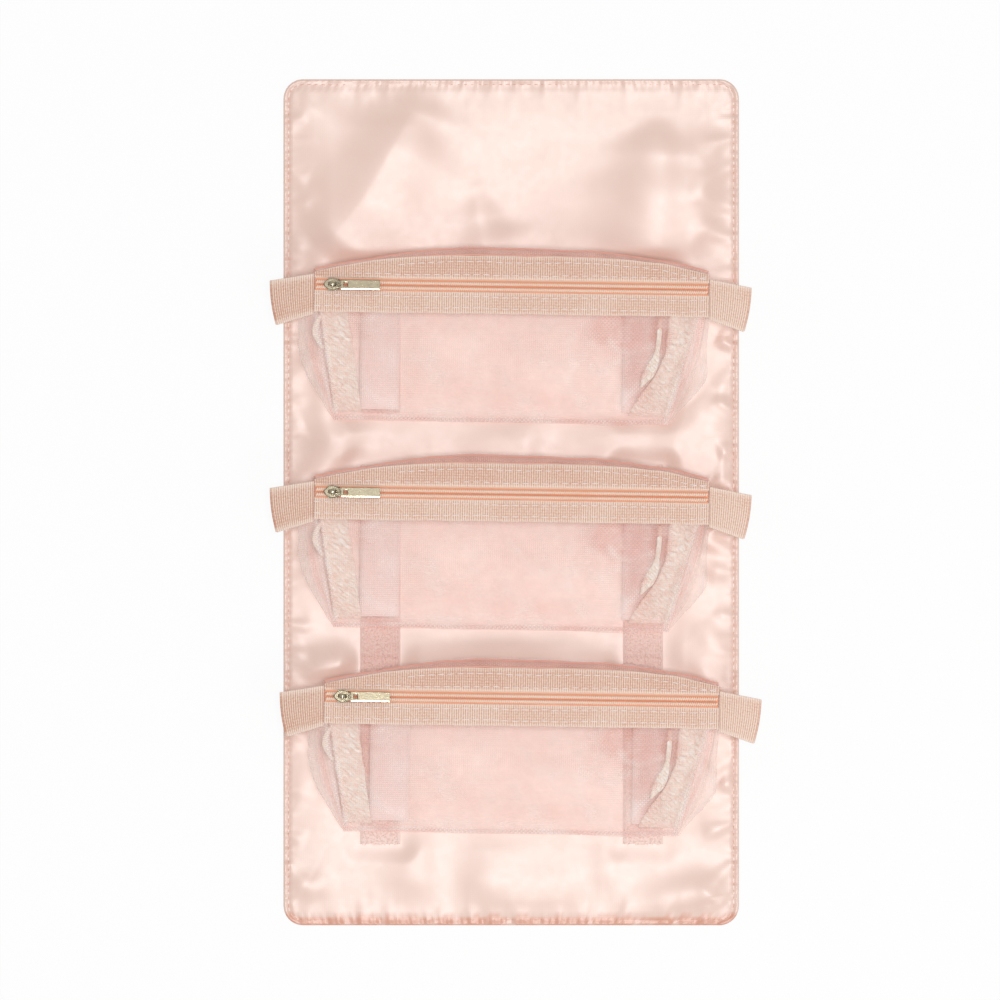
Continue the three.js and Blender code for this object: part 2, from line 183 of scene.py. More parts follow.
def satin_cloth():
    # Polyester satin, woven and lined: its long floats give a bright broad gloss. The real threads
    # are 0.1 mm apart, and are drawn 1.3 mm apart so that the weave shows. The hem mark darkens
    # the turned hem: a little over its doubled band, and mostly as painted shade in its stitch
    # dimples and tucks, much the strongest along the mat's bottom end
    material, tree, shader = start_material("woven_polyester_satin", Specular_IOR_Level=1.0, Anisotropic=0.2)
    vector, along, across = cloth_axes(tree)
    warp, weft = yarns(tree, along, 1.3), yarns(tree, across, 1.3)
    weave = add(tree, "ShaderNodeMath", {0: warp, 1: weft}, operation="MULTIPLY")
    slubs = {"Vector": vector, "Scale": 1 / 14, "Detail": 4.0, "Roughness": 0.6}
    slubs = add(tree, "ShaderNodeTexNoise", slubs)
    ground = add(tree, "ShaderNodeMath", {0: slubs, 1: 0.45, 2: 0.14}, operation="MULTIPLY_ADD")
    share = add(tree, "ShaderNodeMath", {0: weave, 1: 0.2, 2: ground}, operation="MULTIPLY_ADD")
    pale = dress(tree, shader, share, "#ecc9bb", "#f9ddd0", weave, 0.012)
    # The hem mark: painted shade in the hem's dimples and tucks, and its doubled band a little deeper
    hem = add(tree, "ShaderNodeAttribute", attribute_name="hem").outputs["Fac"]
    dress(tree, shader, hem, pale, "#e0a38b")
    polish = add(tree, "ShaderNodeTexNoise", {"Vector": vector, "Scale": 1 / 6, "Detail": 2.0})
    gloss = add(tree, "ShaderNodeMath", {0: polish, 1: 0.08, 2: 0.32}, operation="MULTIPLY_ADD")
    tree.links.new(gloss.outputs[0], shader.inputs["Roughness"])
    return material


def sheer_mesh():
    # Nylon organza: a fine square net of clear bright yarn. The real yarns are 0.4 mm apart, and
    # are drawn 1.25 mm apart so that the net shows. The plies mark says how many layers lie on
    # each other, and a turned-over edge of many plies is nearly solid and deeper in colour. More
    # plies also make the colour pinker and darker: partly the layers' own tone, partly painted shade
    # where the slack front gathers. The crease mark is a painted highlight: 1 on a seam or standing
    # crease, and more than 0 over the gussets, which it paints paler. Two slack layers beat against
    # each other in a slanting check. The clear yarn passes on most of the light that it catches, so
    # it shades what lies under it by less than it covers
    surface = {"Roughness": 0.42, "Specular_IOR_Level": 0.6, "Sheen_Weight": 0.9, "Sheen_Roughness": 0.35}
    material, tree, shader = start_material("sheer_nylon_organza", **surface)
    vector, along, across = cloth_axes(tree)
    warp, weft = yarns(tree, along, 1.25, 1.4), yarns(tree, across, 1.25, 1.4)
    net = add(tree, "ShaderNodeMath", {0: warp, 1: weft}, operation="MAXIMUM")
    plies = add(tree, "ShaderNodeAttribute", attribute_name="plies").outputs["Fac"]
    shimmer = add(tree, "ShaderNodeTexNoise", {"Vector": vector, "Scale": 1 / 18, "Detail": 3.0})
    drawn = add(tree, "ShaderNodeMapping", {"Vector": vector, "Scale": (1 / 22, 1 / 2.2, 1.0)})
    drawn = add(tree, "ShaderNodeTexNoise", {"Vector": drawn, "Scale": 1.0, "Detail": 2.0})
    drawn = add(tree, "ShaderNodeMath", {0: drawn, 1: 0.45}, operation="MULTIPLY")
    patches = add(tree, "ShaderNodeMath", {0: shimmer, 1: 1.55, 2: drawn}, operation="MULTIPLY_ADD")
    ground = add(tree, "ShaderNodeMath", {0: patches, 1: 0.24, 2: -0.12}, operation="MULTIPLY_ADD")
    cover = add(tree, "ShaderNodeMath", {0: net, 1: 0.075, 2: ground}, operation="MULTIPLY_ADD")
    rising = add(tree, "ShaderNodeMath", {0: along, 1: across}, operation="ADD")
    falling = add(tree, "ShaderNodeMath", {0: along, 1: across}, operation="SUBTRACT")
    checks = {0: yarns(tree, rising, 2.5), 1: yarns(tree, falling, 2.5)}
    checks = add(tree, "ShaderNodeMath", checks, operation="MULTIPLY")
    doubled = {"Value": plies, "From Min": 1.5, "From Max": 2.5, "To Max": 0.11}
    doubled = add(tree, "ShaderNodeMapRange", doubled, interpolation_type="SMOOTHSTEP")
    cover = add(tree, "ShaderNodeMath", {0: checks, 1: doubled, 2: cover}, operation="MULTIPLY_ADD")
    gap = add(tree, "ShaderNodeMath", {0: 1.0, 1: cover}, operation="SUBTRACT")
    clear = add(tree, "ShaderNodeMath", {0: gap, 1: plies}, operation="POWER")
    alpha = add(tree, "ShaderNodeMath", {0: 1.0, 1: clear}, operation="SUBTRACT")
    shading = add(tree, "ShaderNodeLightPath").outputs["Is Shadow Ray"]
    shading = add(tree, "ShaderNodeMath", {0: shading, 1: -0.4, 2: 1.0}, operation="MULTIPLY_ADD")
    alpha = add(tree, "ShaderNodeMath", {0: alpha, 1: shading}, operation="MULTIPLY")
    tree.links.new(alpha.outputs[0], shader.inputs["Alpha"])
    crease = add(tree, "ShaderNodeAttribute", attribute_name="crease").outputs["Fac"]
    # Tone: random patches, pinker and darker with more plies (partly painted shade), and paler on the crease
    # mark (painted highlight)
    tone = add(tree, "ShaderNodeMath", {0: patches, 1: 1.5, 2: -0.7}, operation="MULTIPLY_ADD")
    tone = add(tree, "ShaderNodeMath", {0: plies, 1: -0.3, 2: tone}, operation="MULTIPLY_ADD")
    tone = add(tree, "ShaderNodeMath", {0: crease, 1: 1.0, 2: tone}, operation="MULTIPLY_ADD")
    pale = dress(tree, shader, tone, "#f0b7ab", "#fff1eb")
    thick = {"Value": plies, "From Min": 4.0, "From Max": 6.0}
    thick = add(tree, "ShaderNodeMapRange", thick, interpolation_type="SMOOTHSTEP")
    dress(tree, shader, thick, pale, "#ffd3c5")
    return material


def grosgrain():
    # Polyester grosgrain webbing: weft ribs across its length with matt hollows between them, broken
    # up by the warp that binds them. The real ribs are 1.1 mm apart, and are drawn 1.4 mm apart so
    # that they show. The mark read below is painted light: a painted highlight along the two long
    # edges, and an even painted paleness on the pieces that face the lamp
    surface = {"Roughness": 0.62, "Specular_IOR_Level": 0.4, "Sheen_Weight": 0.1}
    material, tree, shader = start_material("polyester_grosgrain_webbing", **surface)
    vector, along, across = cloth_axes(tree)
    ribs, threads = yarns(tree, along, 1.4), yarns(tree, across, 1.7)
    worn = add(tree, "ShaderNodeTexNoise", {"Vector": vector, "Scale": 1 / 25, "Detail": 3.0})
    binding = {"Value": worn, "From Min": 0.42, "From Max": 0.6, "To Min": 0.1, "To Max": 0.6}
    binding = add(tree, "ShaderNodeMapRange", binding, interpolation_type="SMOOTHSTEP")
    checked = add(tree, "ShaderNodeMath", {0: ribs, 1: threads}, operation="MULTIPLY")
    relief = add(tree, "ShaderNodeMix", {0: binding, 2: ribs, 3: checked}, data_type="FLOAT")
    fuzz = add(tree, "ShaderNodeTexNoise", {"Vector": vector, "Scale": 1 / 1.1, "Detail": 2.0})
    ground = add(tree, "ShaderNodeMath", {0: fuzz, 1: 0.9, 2: -0.28}, operation="MULTIPLY_ADD")
    share = add(tree, "ShaderNodeMath", {0: relief, 1: 0.75, 2: ground}, operation="MULTIPLY_ADD")
    # Painted light: paler along the long edges, and all over a piece that faces the lamp
    painted_light = add(tree, "ShaderNodeAttribute", attribute_name="painted_light").outputs["Fac"]
    share = add(tree, "ShaderNodeMath", {0: painted_light, 1: 0.5, 2: share}, operation="MULTIPLY_ADD")
    dress(tree, shader, share, "#d08f72", "#ffe9d9", relief, 0.22)
    return material


def crinkled_ribbon():
    # Satin binding tape, crinkled where the seam gathers it: sharp slanting creases 1.7 mm apart
    material, tree, shader = start_material("gathered_satin_ribbon", Roughness=0.3, Specular_IOR_Level=0.9)
    vector, along, across = cloth_axes(tree)
    slanting = {"Vector": vector, "Rotation": (0, 0, math.radians(52)), "Scale": (2.6, 1.0, 1.0)}
    slanting = add(tree, "ShaderNodeMapping", slanting, vector_type="TEXTURE")
    creases = {"Vector": slanting, "Scale": 1 / 1.7, "Detail": 3.0, "Roughness": 0.6, "Distortion": 0.9}
    creases = add(tree, "ShaderNodeTexNoise", creases)
    warp, weft = yarns(tree, along, 1.2), yarns(tree, across, 1.2)
    weave = add(tree, "ShaderNodeMath", {0: warp, 1: weft}, operation="MULTIPLY")
    ground = add(tree, "ShaderNodeMath", {0: weave, 1: 0.2, 2: -0.5}, operation="MULTIPLY_ADD")
    # Painted shade: the colour follows the crease relief, darker in its hollows
    share = add(tree, "ShaderNodeMath", {0: creases, 1: 2.0, 2: ground}, operation="MULTIPLY_ADD")
    dress(tree, shader, share, "#f8d0ba", "#fffaf2", creases, 1.2)
    return material


def zip_tape():
    # Woven polyester zip tape: a twill ground, painted deep orange from the chain out to just past
    # the raised cord beside the coil: painted shade of the grooves between and beside the coil rows
    material, tree, shader = start_material("woven_zip_tape", Roughness=0.6, Specular_IOR_Level=0.35)
    vector, along, across = cloth_axes(tree)
    slant = add(tree, "ShaderNodeMath", {0: along, 1: across}, operation="ADD")
    twill = yarns(tree, slant, 0.9)
    reach = add(tree, "ShaderNodeMath", {0: across}, operation="ABSOLUTE")
    # Painted shade: deep orange inside 3.2 mm, fading out by 3.5 mm
    groove_shade = {"Value": reach, "From Min": 3.5, "From Max": 3.2}
    groove_shade = add(tree, "ShaderNodeMapRange", groove_shade, interpolation_type="SMOOTHSTEP")
    ground = dress(tree, shader, twill, "#ffd3ba", "#ffe7d6", twill, 0.08)
    dress(tree, shader, groove_shade, ground, "#ffb18a")
    return material


def coil_nylon():
    # Nylon monofilament coil: drawn plastic wire, smooth and a little glossy, dyed peach
    material, tree, shader = start_material("dyed_nylon_monofilament", Roughness=0.32, Specular_IOR_Level=0.7)
    place = add(tree, "ShaderNodeTexCoord").outputs["Object"]
    patches = add(tree, "ShaderNodeTexNoise", {"Vector": place, "Scale": 30.0, "Detail": 2.0})
    pits = add(tree, "ShaderNodeTexNoise", {"Vector": place, "Scale": 1600.0, "Detail": 2.0})
    dress(tree, shader, patches, "#ffd5bb", "#ffebda", pits, 0.02)
    return material


def nap_tape(name, low, high, nap):
    # Woven nylon ground of hook-and-loop tape, roughened by the wires knotted into it. The worn mark
    # makes the tape paler: painted light on the strips at the right, and paler near the mat's bottom end
    surface = {"Roughness": 0.85, "Specular_IOR_Level": 0.25, "Sheen_Weight": 0.3}
    material, tree, shader = start_material(name, **surface)
    place = add(tree, "ShaderNodeTexCoord").outputs["Object"]
    fuzz = {"Vector": place, "Scale": 1 / (nap * MM), "Detail": 3.0, "Roughness": 0.7}
    fuzz = add(tree, "ShaderNodeTexNoise", fuzz)
    across = add(tree, "ShaderNodeSeparateXYZ", {0: place})
    rows = {0: yarns(tree, across, 1.6 * MM), 1: 0.25, 2: -0.1}
    rows = add(tree, "ShaderNodeMath", rows, operation="MULTIPLY_ADD")
    share = add(tree, "ShaderNodeMath", {0: fuzz, 1: 0.9, 2: rows}, operation="MULTIPLY_ADD")
    worn = add(tree, "ShaderNodeAttribute", attribute_name="worn").outputs["Fac"]
    share = add(tree, "ShaderNodeMath", {0: worn, 1: 0.8, 2: share}, operation="MULTIPLY_ADD")
    dress(tree, shader, share, low, high, fuzz, 0.35)
    return material


def sewing_thread(name, low, high):
    # Twisted polyester sewing thread: two plies wound round each other, half a millimetre apart
    surface = {"Roughness": 0.5, "Specular_IOR_Level": 0.4, "Sheen_Weight": 0.2}
    material, tree, shader = start_material(name, **surface)
    place = add(tree, "ShaderNodeTexCoord").outputs["Object"]
    split = add(tree, "ShaderNodeSeparateXYZ", {0: place})
    slant = add(tree, "ShaderNodeMath", {0: split.outputs[0], 1: split.outputs[1]}, operation="ADD")
    twist = yarns(tree, slant, 0.5 * MM)
    dress(tree, shader, twist, low, high, twist, 0.05)
    return material


def plated_nickel():
    # Nickel-plated zinc, die-cast and tumbled: a warm bright metal with faint fine scratches. The
    # edge mark is 1 on every face that is not level, the rounded edges and sides, which it paints
    # darker: a painted dark reflection
    material, tree, shader = start_material("nickel_plated_zinc", Metallic=1.0)
    place = add(tree, "ShaderNodeTexCoord").outputs["Object"]
    drawn = add(tree, "ShaderNodeMapping", {"Vector": place, "Scale": (0.15, 1.0, 1.0)})
    scratches = {"Vector": drawn, "Scale": 2000.0, "Detail": 4.0, "Roughness": 0.7}
    scratches = add(tree, "ShaderNodeTexNoise", scratches)
    stains = add(tree, "ShaderNodeTexNoise", {"Vector": place, "Scale": 170.0, "Detail": 3.0})
    bright = dress(tree, shader, stains, "#bbae92", "#d2c8ae", scratches, 0.02)
    # Painted reflection: the edge mark darkens every face that is not level
    edge = add(tree, "ShaderNodeAttribute", attribute_name="edge").outputs["Fac"]
    edge = add(tree, "ShaderNodeMath", {0: edge, 1: 0.85}, operation="MULTIPLY")
    dress(tree, shader, edge, bright, "#6f6353")
    gloss = add(tree, "ShaderNodeMath", {0: scratches, 1: 0.14, 2: 0.12}, operation="MULTIPLY_ADD")
    tree.links.new(gloss.outputs[0], shader.inputs["Roughness"])
    return material


satin = satin_cloth()
organza = sheer_mesh()
webbing_cloth = grosgrain()
ribbon_satin = crinkled_ribbon()
tape_cloth = zip_tape()
coil_wire = coil_nylon()
loop_ground = nap_tape("knitted_nylon_loop_tape", "#f7cec3", "#ffe5dc", 1.3)
hook_ground = nap_tape("woven_nylon_hook_tape", "#fee4dd", "#fff5f1", 1.8)
pale_thread = sewing_thread("pale_polyester_thread", "#fbe3d9", "#fffaf6")
hem_thread = sewing_thread("peach_polyester_thread", "#e6ae98", "#f6cab6")
# A deeper peach cord laid along folds and seams: painted shadow lines
shade_line_cord = sewing_thread("peach_shade_line_cord", "#f3a792", "#fbc4b3")
nickel = plated_nickel()


# Meshes


def linked(name, data):
    """A new object in the scene."""
    made = bpy.data.objects.new(name, data)
    bpy.context.scene.collection.objects.link(made)
    return made


def points_of(mesh):
    """A mesh's points in millimetres."""
    flat = np.empty(3 * len(mesh.vertices))
    mesh.vertices.foreach_get("co", flat)
    return flat.reshape(-1, 3) / MM


def moved(piece, carry):
    """The piece with its vertices carried by a function of points in millimetres."""
    mesh = piece.data
    mesh.vertices.foreach_set("co", (carry(points_of(mesh)) * MM).ravel())
    mesh.update()
    return piece


def mark(mesh, name, values, domain="POINT"):
    """Writes a named mark for each point or face of a mesh."""
    attribute = mesh.attributes.new(name, "FLOAT", domain)
    attribute.data.foreach_set("value", np.asarray(values, np.float32).ravel())


def smoothed(piece):
    """The piece, shaded smooth."""
    faces = piece.data.polygons
    faces.foreach_set("use_smooth", np.ones(len(faces), bool))
    return piece


def make_piece(name, points, faces, material, layers=None, marks=None, crease=math.radians(50)):
    """A mesh of points in millimetres, with UV layers and named marks given for each point."""
    mesh = bpy.data.meshes.new(name)
    mesh.from_pydata((np.asarray(points, float).reshape(-1, 3) * MM).tolist(), [], faces)
    corners = np.empty(len(mesh.loops), int)
    mesh.loops.foreach_get("vertex_index", corners)
    for layer, values in (layers or {}).items():
        flat = np.asarray(values, float).reshape(-1, 2)[corners]
        mesh.uv_layers.new(name=layer).data.foreach_set("uv", flat.astype(np.float32).ravel())
    for label, values in (marks or {}).items():
        mark(mesh, label, values)
    piece = smoothed(linked(name, mesh))
    mesh.set_sharp_from_angle(angle=crease)
    mesh.materials.append(material)
    mesh.update()
    return piece


def baked(piece):
    """The piece with its modifiers turned to plain mesh and removed."""
    graph = bpy.context.evaluated_depsgraph_get()
    mesh = bpy.data.meshes.new_from_object(piece.evaluated_get(graph))
    piece.modifiers.clear()
    if piece.type != "MESH":
        name = piece.name
        bpy.data.objects.remove(piece)
        piece = linked(name, mesh)
    piece.data = mesh
    mesh.name = piece.name
    return piece


def grid_faces(columns, rows):
    """Quads over points numbered column by column, facing along cross across."""
    stride = rows + 1
    return [
        (i * stride + j, (i + 1) * stride + j, (i + 1) * stride + j + 1, i * stride + j + 1)
        for i in range(columns)
        for j in range(rows)
    ]


def normals_of(middle):
    """Unit normals of a grid of points."""
    along = np.gradient(middle, axis=0)
    across = np.gradient(middle, axis=1)
    normal = np.cross(along, across)
    return normal / np.linalg.norm(normal, axis=2, keepdims=True)


def unit(vectors):
    """The vectors at a length of 1."""
    return vectors / np.linalg.norm(vectors, axis=-1, keepdims=True)


def slab(middle, thickness, rim=0.42):
    """Points, faces and grid indices of a strip of even thickness with rounded long edges."""
    columns, rows = middle.shape[0] - 1, middle.shape[1] - 1
    normal = normals_of(middle)
    front, back = middle + normal * thickness / 2, middle - normal * thickness / 2
    near = middle[:, 0] + unit(middle[:, 0] - middle[:, 1]) * thickness * rim
    far = middle[:, -1] + unit(middle[:, -1] - middle[:, -2]) * thickness * rim
    rings = np.concatenate([front, far[:, None], back[:, ::-1], near[:, None]], axis=1)
    across = [*range(rows + 1), rows, *range(rows, -1, -1), 0]
    size = rings.shape[1]
    faces = [
        (i * size + k, (i + 1) * size + k, (i + 1) * size + (k + 1) % size, i * size + (k + 1) % size)
        for i in range(columns)
        for k in range(size)
    ]
    under = [2 * rows + 2 - j for j in range(rows + 1)]
    cap = [(j, j + 1, under[j + 1], under[j]) for j in range(rows)]
    cap += [(size - 1, 0, under[0]), (rows, rows + 1, under[rows])]
    faces += cap
    faces += [tuple(columns * size + k for k in reversed(face)) for face in cap]
    return rings, faces, across


def strip_piece(name, middle, thickness, material, cloth, pale=0.0, rim=0.42):
    """A thick strip of cloth about a grid of points, cloth giving each grid point's own millimetres."""
    rings, faces, across = slab(middle, thickness, rim)
    rows = middle.shape[1] - 1
    inward = np.minimum(across, rows - np.array(across))
    # Painted light for the grosgrain: a highlight along both long edges, and pale all over a piece facing the
    # lamp
    edge = np.array([1.0, 0.35])[np.minimum(inward, 1)] * (inward < 2)
    painted_light = np.broadcast_to(np.maximum(edge, pale), rings.shape[:2])
    return make_piece(name, rings, faces, material, {"cloth": cloth[:, across]}, {"painted_light": painted_light})


def sheet_piece(name, middle, material, cloth, plies, crease):
    """A single sheer layer over a grid of points."""
    faces = grid_faces(middle.shape[0] - 1, middle.shape[1] - 1)
    marks = {"plies": plies, "crease": np.broadcast_to(crease, plies.shape)}
    return make_piece(name, middle, faces, material, {"cloth": cloth}, marks)


def tube_piece(name, path, radius, material):
    """A round tube along a path of points that runs about level."""
    tangent = unit(np.gradient(path, axis=0))
    side = unit(np.cross([0.0, 0.0, 1.0], tangent))
    above = np.cross(tangent, side)
    turn = (np.arange(8) / 8 * 2 * np.pi)[:, None]
    rings = path[:, None] + radius * (np.cos(turn) * side[:, None] + np.sin(turn) * above[:, None])
    last = 8 * (len(path) - 1)
    faces = [
        (i + 8 + k, i + 8 + (k + 1) % 8, i + (k + 1) % 8, i + k)
        for i in range(0, last, 8)
        for k in range(8)
    ]
    faces += [tuple(range(8)), tuple(last + k for k in reversed(range(8)))]
    return make_piece(name, rings, faces, material)


def arc_lengths(middle):
    """Each grid point's millimetres along its own row and column of the grid."""
    along = np.linalg.norm(np.diff(middle, axis=0), axis=2)
    across = np.linalg.norm(np.diff(middle, axis=1), axis=2)
    along = np.concatenate([np.zeros((1, middle.shape[1])), np.cumsum(along, axis=0)])
    across = np.concatenate([np.zeros((middle.shape[0], 1)), np.cumsum(across, axis=1)], axis=1)
    return np.stack([along - along[-1:] / 2, across], axis=2)


def ripples(x, y, size, seed):
    """Smooth noise between -1 and 1 whose waves are about size millimetres apart."""
    table = np.random.default_rng(seed).uniform(-1, 1, (257, 257))
    px, py = x / size + 1000.0, y / size + 1000.0
    ix, iy = np.floor(px).astype(int), np.floor(py).astype(int)
    fx, fy = px - ix, py - iy
    fx, fy = fx * fx * (3 - 2 * fx), fy * fy * (3 - 2 * fy)
    at = lambda a, b: table[(ix + a) % 257, (iy + b) % 257]
    low = at(0, 0) * (1 - fx) + at(1, 0) * fx
    high = at(0, 1) * (1 - fx) + at(1, 1) * fx
    return low * (1 - fy) + high * fy


def smooth(values, low, high):
    """0 up to low, 1 from high on, and an eased rise between them."""
    share = np.clip((values - low) / (high - low), 0, 1)
    return share * share * (3 - 2 * share)


def spread(length, step, margins=()):
    """Shares from 0 to 1 along a length, an even step apart, with extra ones near both ends."""
    near = [m / length for m in margins]
    start = near[-1] if near else 0.0
    count = max(int(round(length * (1 - 2 * start) / step)), 2)
    middle = np.linspace(start, 1 - start, count + 1)
    if not near:
        return middle
    return np.array([0.0, *near[:-1], *middle, *[1 - n for n in reversed(near[:-1])], 1.0])


# The mat's relief: soft ridges, each a crest line of points
# (x, y, height, width of its upper left side, width of its lower right side). A pleat's upper left
# side is steep right up to its crest, because its brow is lower than a plain ridge's.
PLEAT_BROW = 1.55
RIDGE_BROW = 2.0
PLEATS = [
    # The flap: the long slanting fold at the left, and the small pleat above pouch 1
    [
        (-53, 258, 0.8, 12, 10), (-60, 240, 2.9, 18, 18), (-73, 216, 4.6, 24, 32), (-90, 186, 5.2, 28, 42),
        (-106, 166, 4.2, 27, 38), (-118, 152, 2.0, 22, 32),
    ],
    [(-22, 192, 0.2, 5, 6), (-19, 174, 1.3, 11, 13), (-15, 157, 2.3, 17, 22), (-13, 142, 2.1, 19, 22)],
]
RIDGES = [
    # The flap: its puffed corner
    [(-130, 247, 0.8, 9, 18), (-136, 214, 0.5, 9, 18)],
    # The flap: the broad hollow at the right, up to its two crests
    [
        (91, 238, 0.1, 8, 8), (91, 212, 3.2, 22, 16), (90, 186, 4.8, 32, 26), (88, 164, 4.2, 33, 28),
        (86, 144, 2.4, 32, 28),
    ],
    [(116, 236, 0.2, 9, 8), (118, 206, 2.0, 12, 12), (116, 170, 0.8, 12, 12)],
    # Between pouches 1 and 2
    [(-98, 62, 2.6, 22, 16), (-106, 40, 2.6, 22, 14), (-114, 18, 1.4, 18, 12)],
    [(12, 56, 1.7, 28, 12), (2, 18, 1.7, 28, 12)],
    [(68, 54, 1.4, 20, 13), (66, 18, 1.2, 20, 13)],
    [(100, 54, 1.5, 20, 12), (98, 18, 1.2, 20, 12)],
    [(136, 76, 0.4, 12, 6), (131, 52, 2.8, 20, 8), (130, 24, 1.4, 18, 8)],
    # Between pouches 2 and 3
    [
        (-86, -106, 1.8, 10, 8), (-44, -105, 2.4, 14, 8), (-4, -104, 3.0, 15, 8), (30, -105, 2.4, 14, 8),
        (76, -106, 1.8, 10, 8),
    ],
    [(-136, -104, 1.8, 12, 8), (-118, -101, 2.6, 12, 8), (-94, -98, 2.4, 10, 8)],
    [(137, -62, 0.3, 10, 6), (131, -84, 1.8, 16, 8), (128, -108, 2.0, 18, 8)],
    # Below pouch 3
    [(-40, -244, 0.1, 24, 12), (-10, -243, 1.7, 36, 13), (30, -243, 1.5, 34, 13), (52, -245, 0.1, 24, 12)],
    [(-54, -198, 0.3, 14, 10), (-58, -226, 1.5, 16, 11), (-57, -252, 0.4, 14, 11)],
    [(-134, -241, 1.3, 10, 8), (-119, -236, 1.2, 10, 9), (-104, -236, 0.2, 9, 9)],
    [(-8, -204, 0.2, 16, 12), (-15, -230, 0.6, 16, 12), (2, -250, 0.2, 14, 10)],
    [(63, -206, 0.3, 14, 11), (59, -226, 1.0, 14, 11), (60, -246, 0.3, 13, 10)],
    [(138, -176, 0.2, 10, 6), (133, -200, 1.6, 15, 7), (134, -222, 0.3, 12, 6)],
    [
        (54, -261, 0.3, 10, 5), (76, -256, 2.5, 13, 5), (98, -251, 3.8, 15, 5), (118, -244, 3.8, 15, 5),
        (138, -236, 1.9, 12, 5),
    ],
]


def ridge_height(x, y, crest, brow=RIDGE_BROW):
    """The height of one ridge, with its own widths on its upper left and its lower right."""
    best = np.full(x.shape, 1e9)
    height = np.zeros(x.shape)
    for start, end in zip(crest, crest[1:]):
        a, b = np.array(start, float), np.array(end, float)
        run = b[:2] - a[:2]
        share = np.clip(((x - a[0]) * run[0] + (y - a[1]) * run[1]) / (run @ run), 0, 1)
        dx, dy = x - (a[0] + share * run[0]), y - (a[1] + share * run[1])
        distance = np.hypot(dx, dy)
        side = smooth((dx - dy) * 0.707, -2.5, 2.5)
        eased = share * share * (3 - 2 * share)
        tall, upper, lower = (a[k] + eased * (b[k] - a[k]) for k in (2, 3, 4))
        width = upper + side * (lower - upper)
        here = tall * np.exp(-((distance / width) ** (brow + side * (RIDGE_BROW - brow))))
        height = np.where(distance < best, here, height)
        best = np.minimum(distance, best)
    return height


def gathers():
    """Short soft gathers that run in from the stitched sides, each a crest line as above."""
    draw = np.random.default_rng(12)
    lines = []
    for side in (-1, 1):
        y = -240.0
        while y < 240:
            reach, slant = draw.uniform(9, 30), draw.uniform(-0.9, 0.9)
            tall, wide = draw.uniform(0.5, 1.35) * (0.6 if side < 0 else 1.0), draw.uniform(4.2, 7.8)
            bend = draw.uniform(-4, 4)
            outer, inner = side * 137.0, side * (137.0 - reach)
            middle = (outer + inner) / 2
            tip = y + slant * reach
            lines.append([
                (outer, y, 0.6 * tall, 0.7 * wide, 0.7 * wide),
                (middle, (y + tip) / 2 + bend, tall, wide, 0.8 * wide),
                (inner, tip, 0.05, 1.5 * wide, 1.3 * wide),
            ])
            y += draw.uniform(12, 27)
    for end in (-1, 1):
        x = -125.0
        while x < 125:
            reach, slant = draw.uniform(6, 16), draw.uniform(-0.7, 0.7)
            tall, wide = draw.uniform(0.4, 1.0), draw.uniform(3.4, 6.0)
            lines.append([
                (x, end * 257.0, 0.6 * tall, 0.7 * wide, 0.7 * wide),
                (x + slant * reach, end * (257.0 - reach), 0.05, 1.5 * wide, 1.3 * wide),
            ])
            x += draw.uniform(14, 30)
    return lines


def edge_distance(x, y):
    """Millimetres inwards from the mat's outline, whose corners are round."""
    qx = np.abs(x) - (MAT_HALF_WIDTH - MAT_CORNER)
    qy = np.abs(y) - (MAT_HALF_LENGTH - MAT_CORNER)
    outside = np.hypot(np.maximum(qx, 0), np.maximum(qy, 0))
    return MAT_CORNER - outside - np.minimum(np.maximum(qx, qy), 0)


def strip_cover(x, y):
    """1 over the loop strips and fading out round them: the mat is stiff and flat there.

    The top strips' last centimetre lies hidden under pouch 1, and leaves the flap's folds alone.
    """
    cover = np.zeros(x.shape)
    for low, high in LOOP_SPANS.values():
        for centre in STRIP_X.values():
            dx = np.maximum(np.abs(x - centre) - STRIP_WIDTH / 2, 0)
            dy = np.maximum(np.maximum(low - y, y - min(high, FLAT_END)), 0)
            cover = np.maximum(cover, 1 - smooth(np.hypot(dx, dy), 0.0, 14.0))
    return cover


def pouch_cover(x, y):
    """1 under the pouches' backs and fading out round them, where they press on the mat."""
    cover = np.zeros(x.shape)
    for px, py in POUCH_PLACES.values():
        dx = np.maximum(np.abs(x - px + 2) - 100, 0)
        dy = np.maximum(np.maximum(py - 76 - y, y - py - 6), 0)
        cover = np.maximum(cover, 1 - smooth(np.hypot(dx, dy), 0.0, 19.0))
    return cover


GATHERS = gathers()


def mat_lift(x, y):
    """How far the mat's middle layer stands off the table."""
    lift = sum(ridge_height(x, y, crest) for crest in RIDGES)
    lift = lift + sum(ridge_height(x, y, crest, PLEAT_BROW) for crest in PLEATS)
    lift += 0.5 * (1 + ripples(x, y, 42.0, 4)) + 0.14 * (1 + ripples(x, y, 17.0, 7))
    lift *= 0.12 + 0.88 * smooth(edge_distance(x, y), -4.0, 30.0)
    lift += sum(ridge_height(x, y, crest) for crest in GATHERS)
    lift *= 1 - 0.7 * pouch_cover(x, y)
    lift *= 1 - strip_cover(x, y)
    return lift


def hem_axes(x, y):
    """Millimetres inwards from the hem and along it, and 1 at each stitch with -1 between two."""
    run = np.where(np.abs(x) / MAT_HALF_WIDTH > np.abs(y) / MAT_HALF_LENGTH, y, x)
    return edge_distance(x, y), run, np.cos(2 * math.pi * run / HEM_STITCH_PITCH)


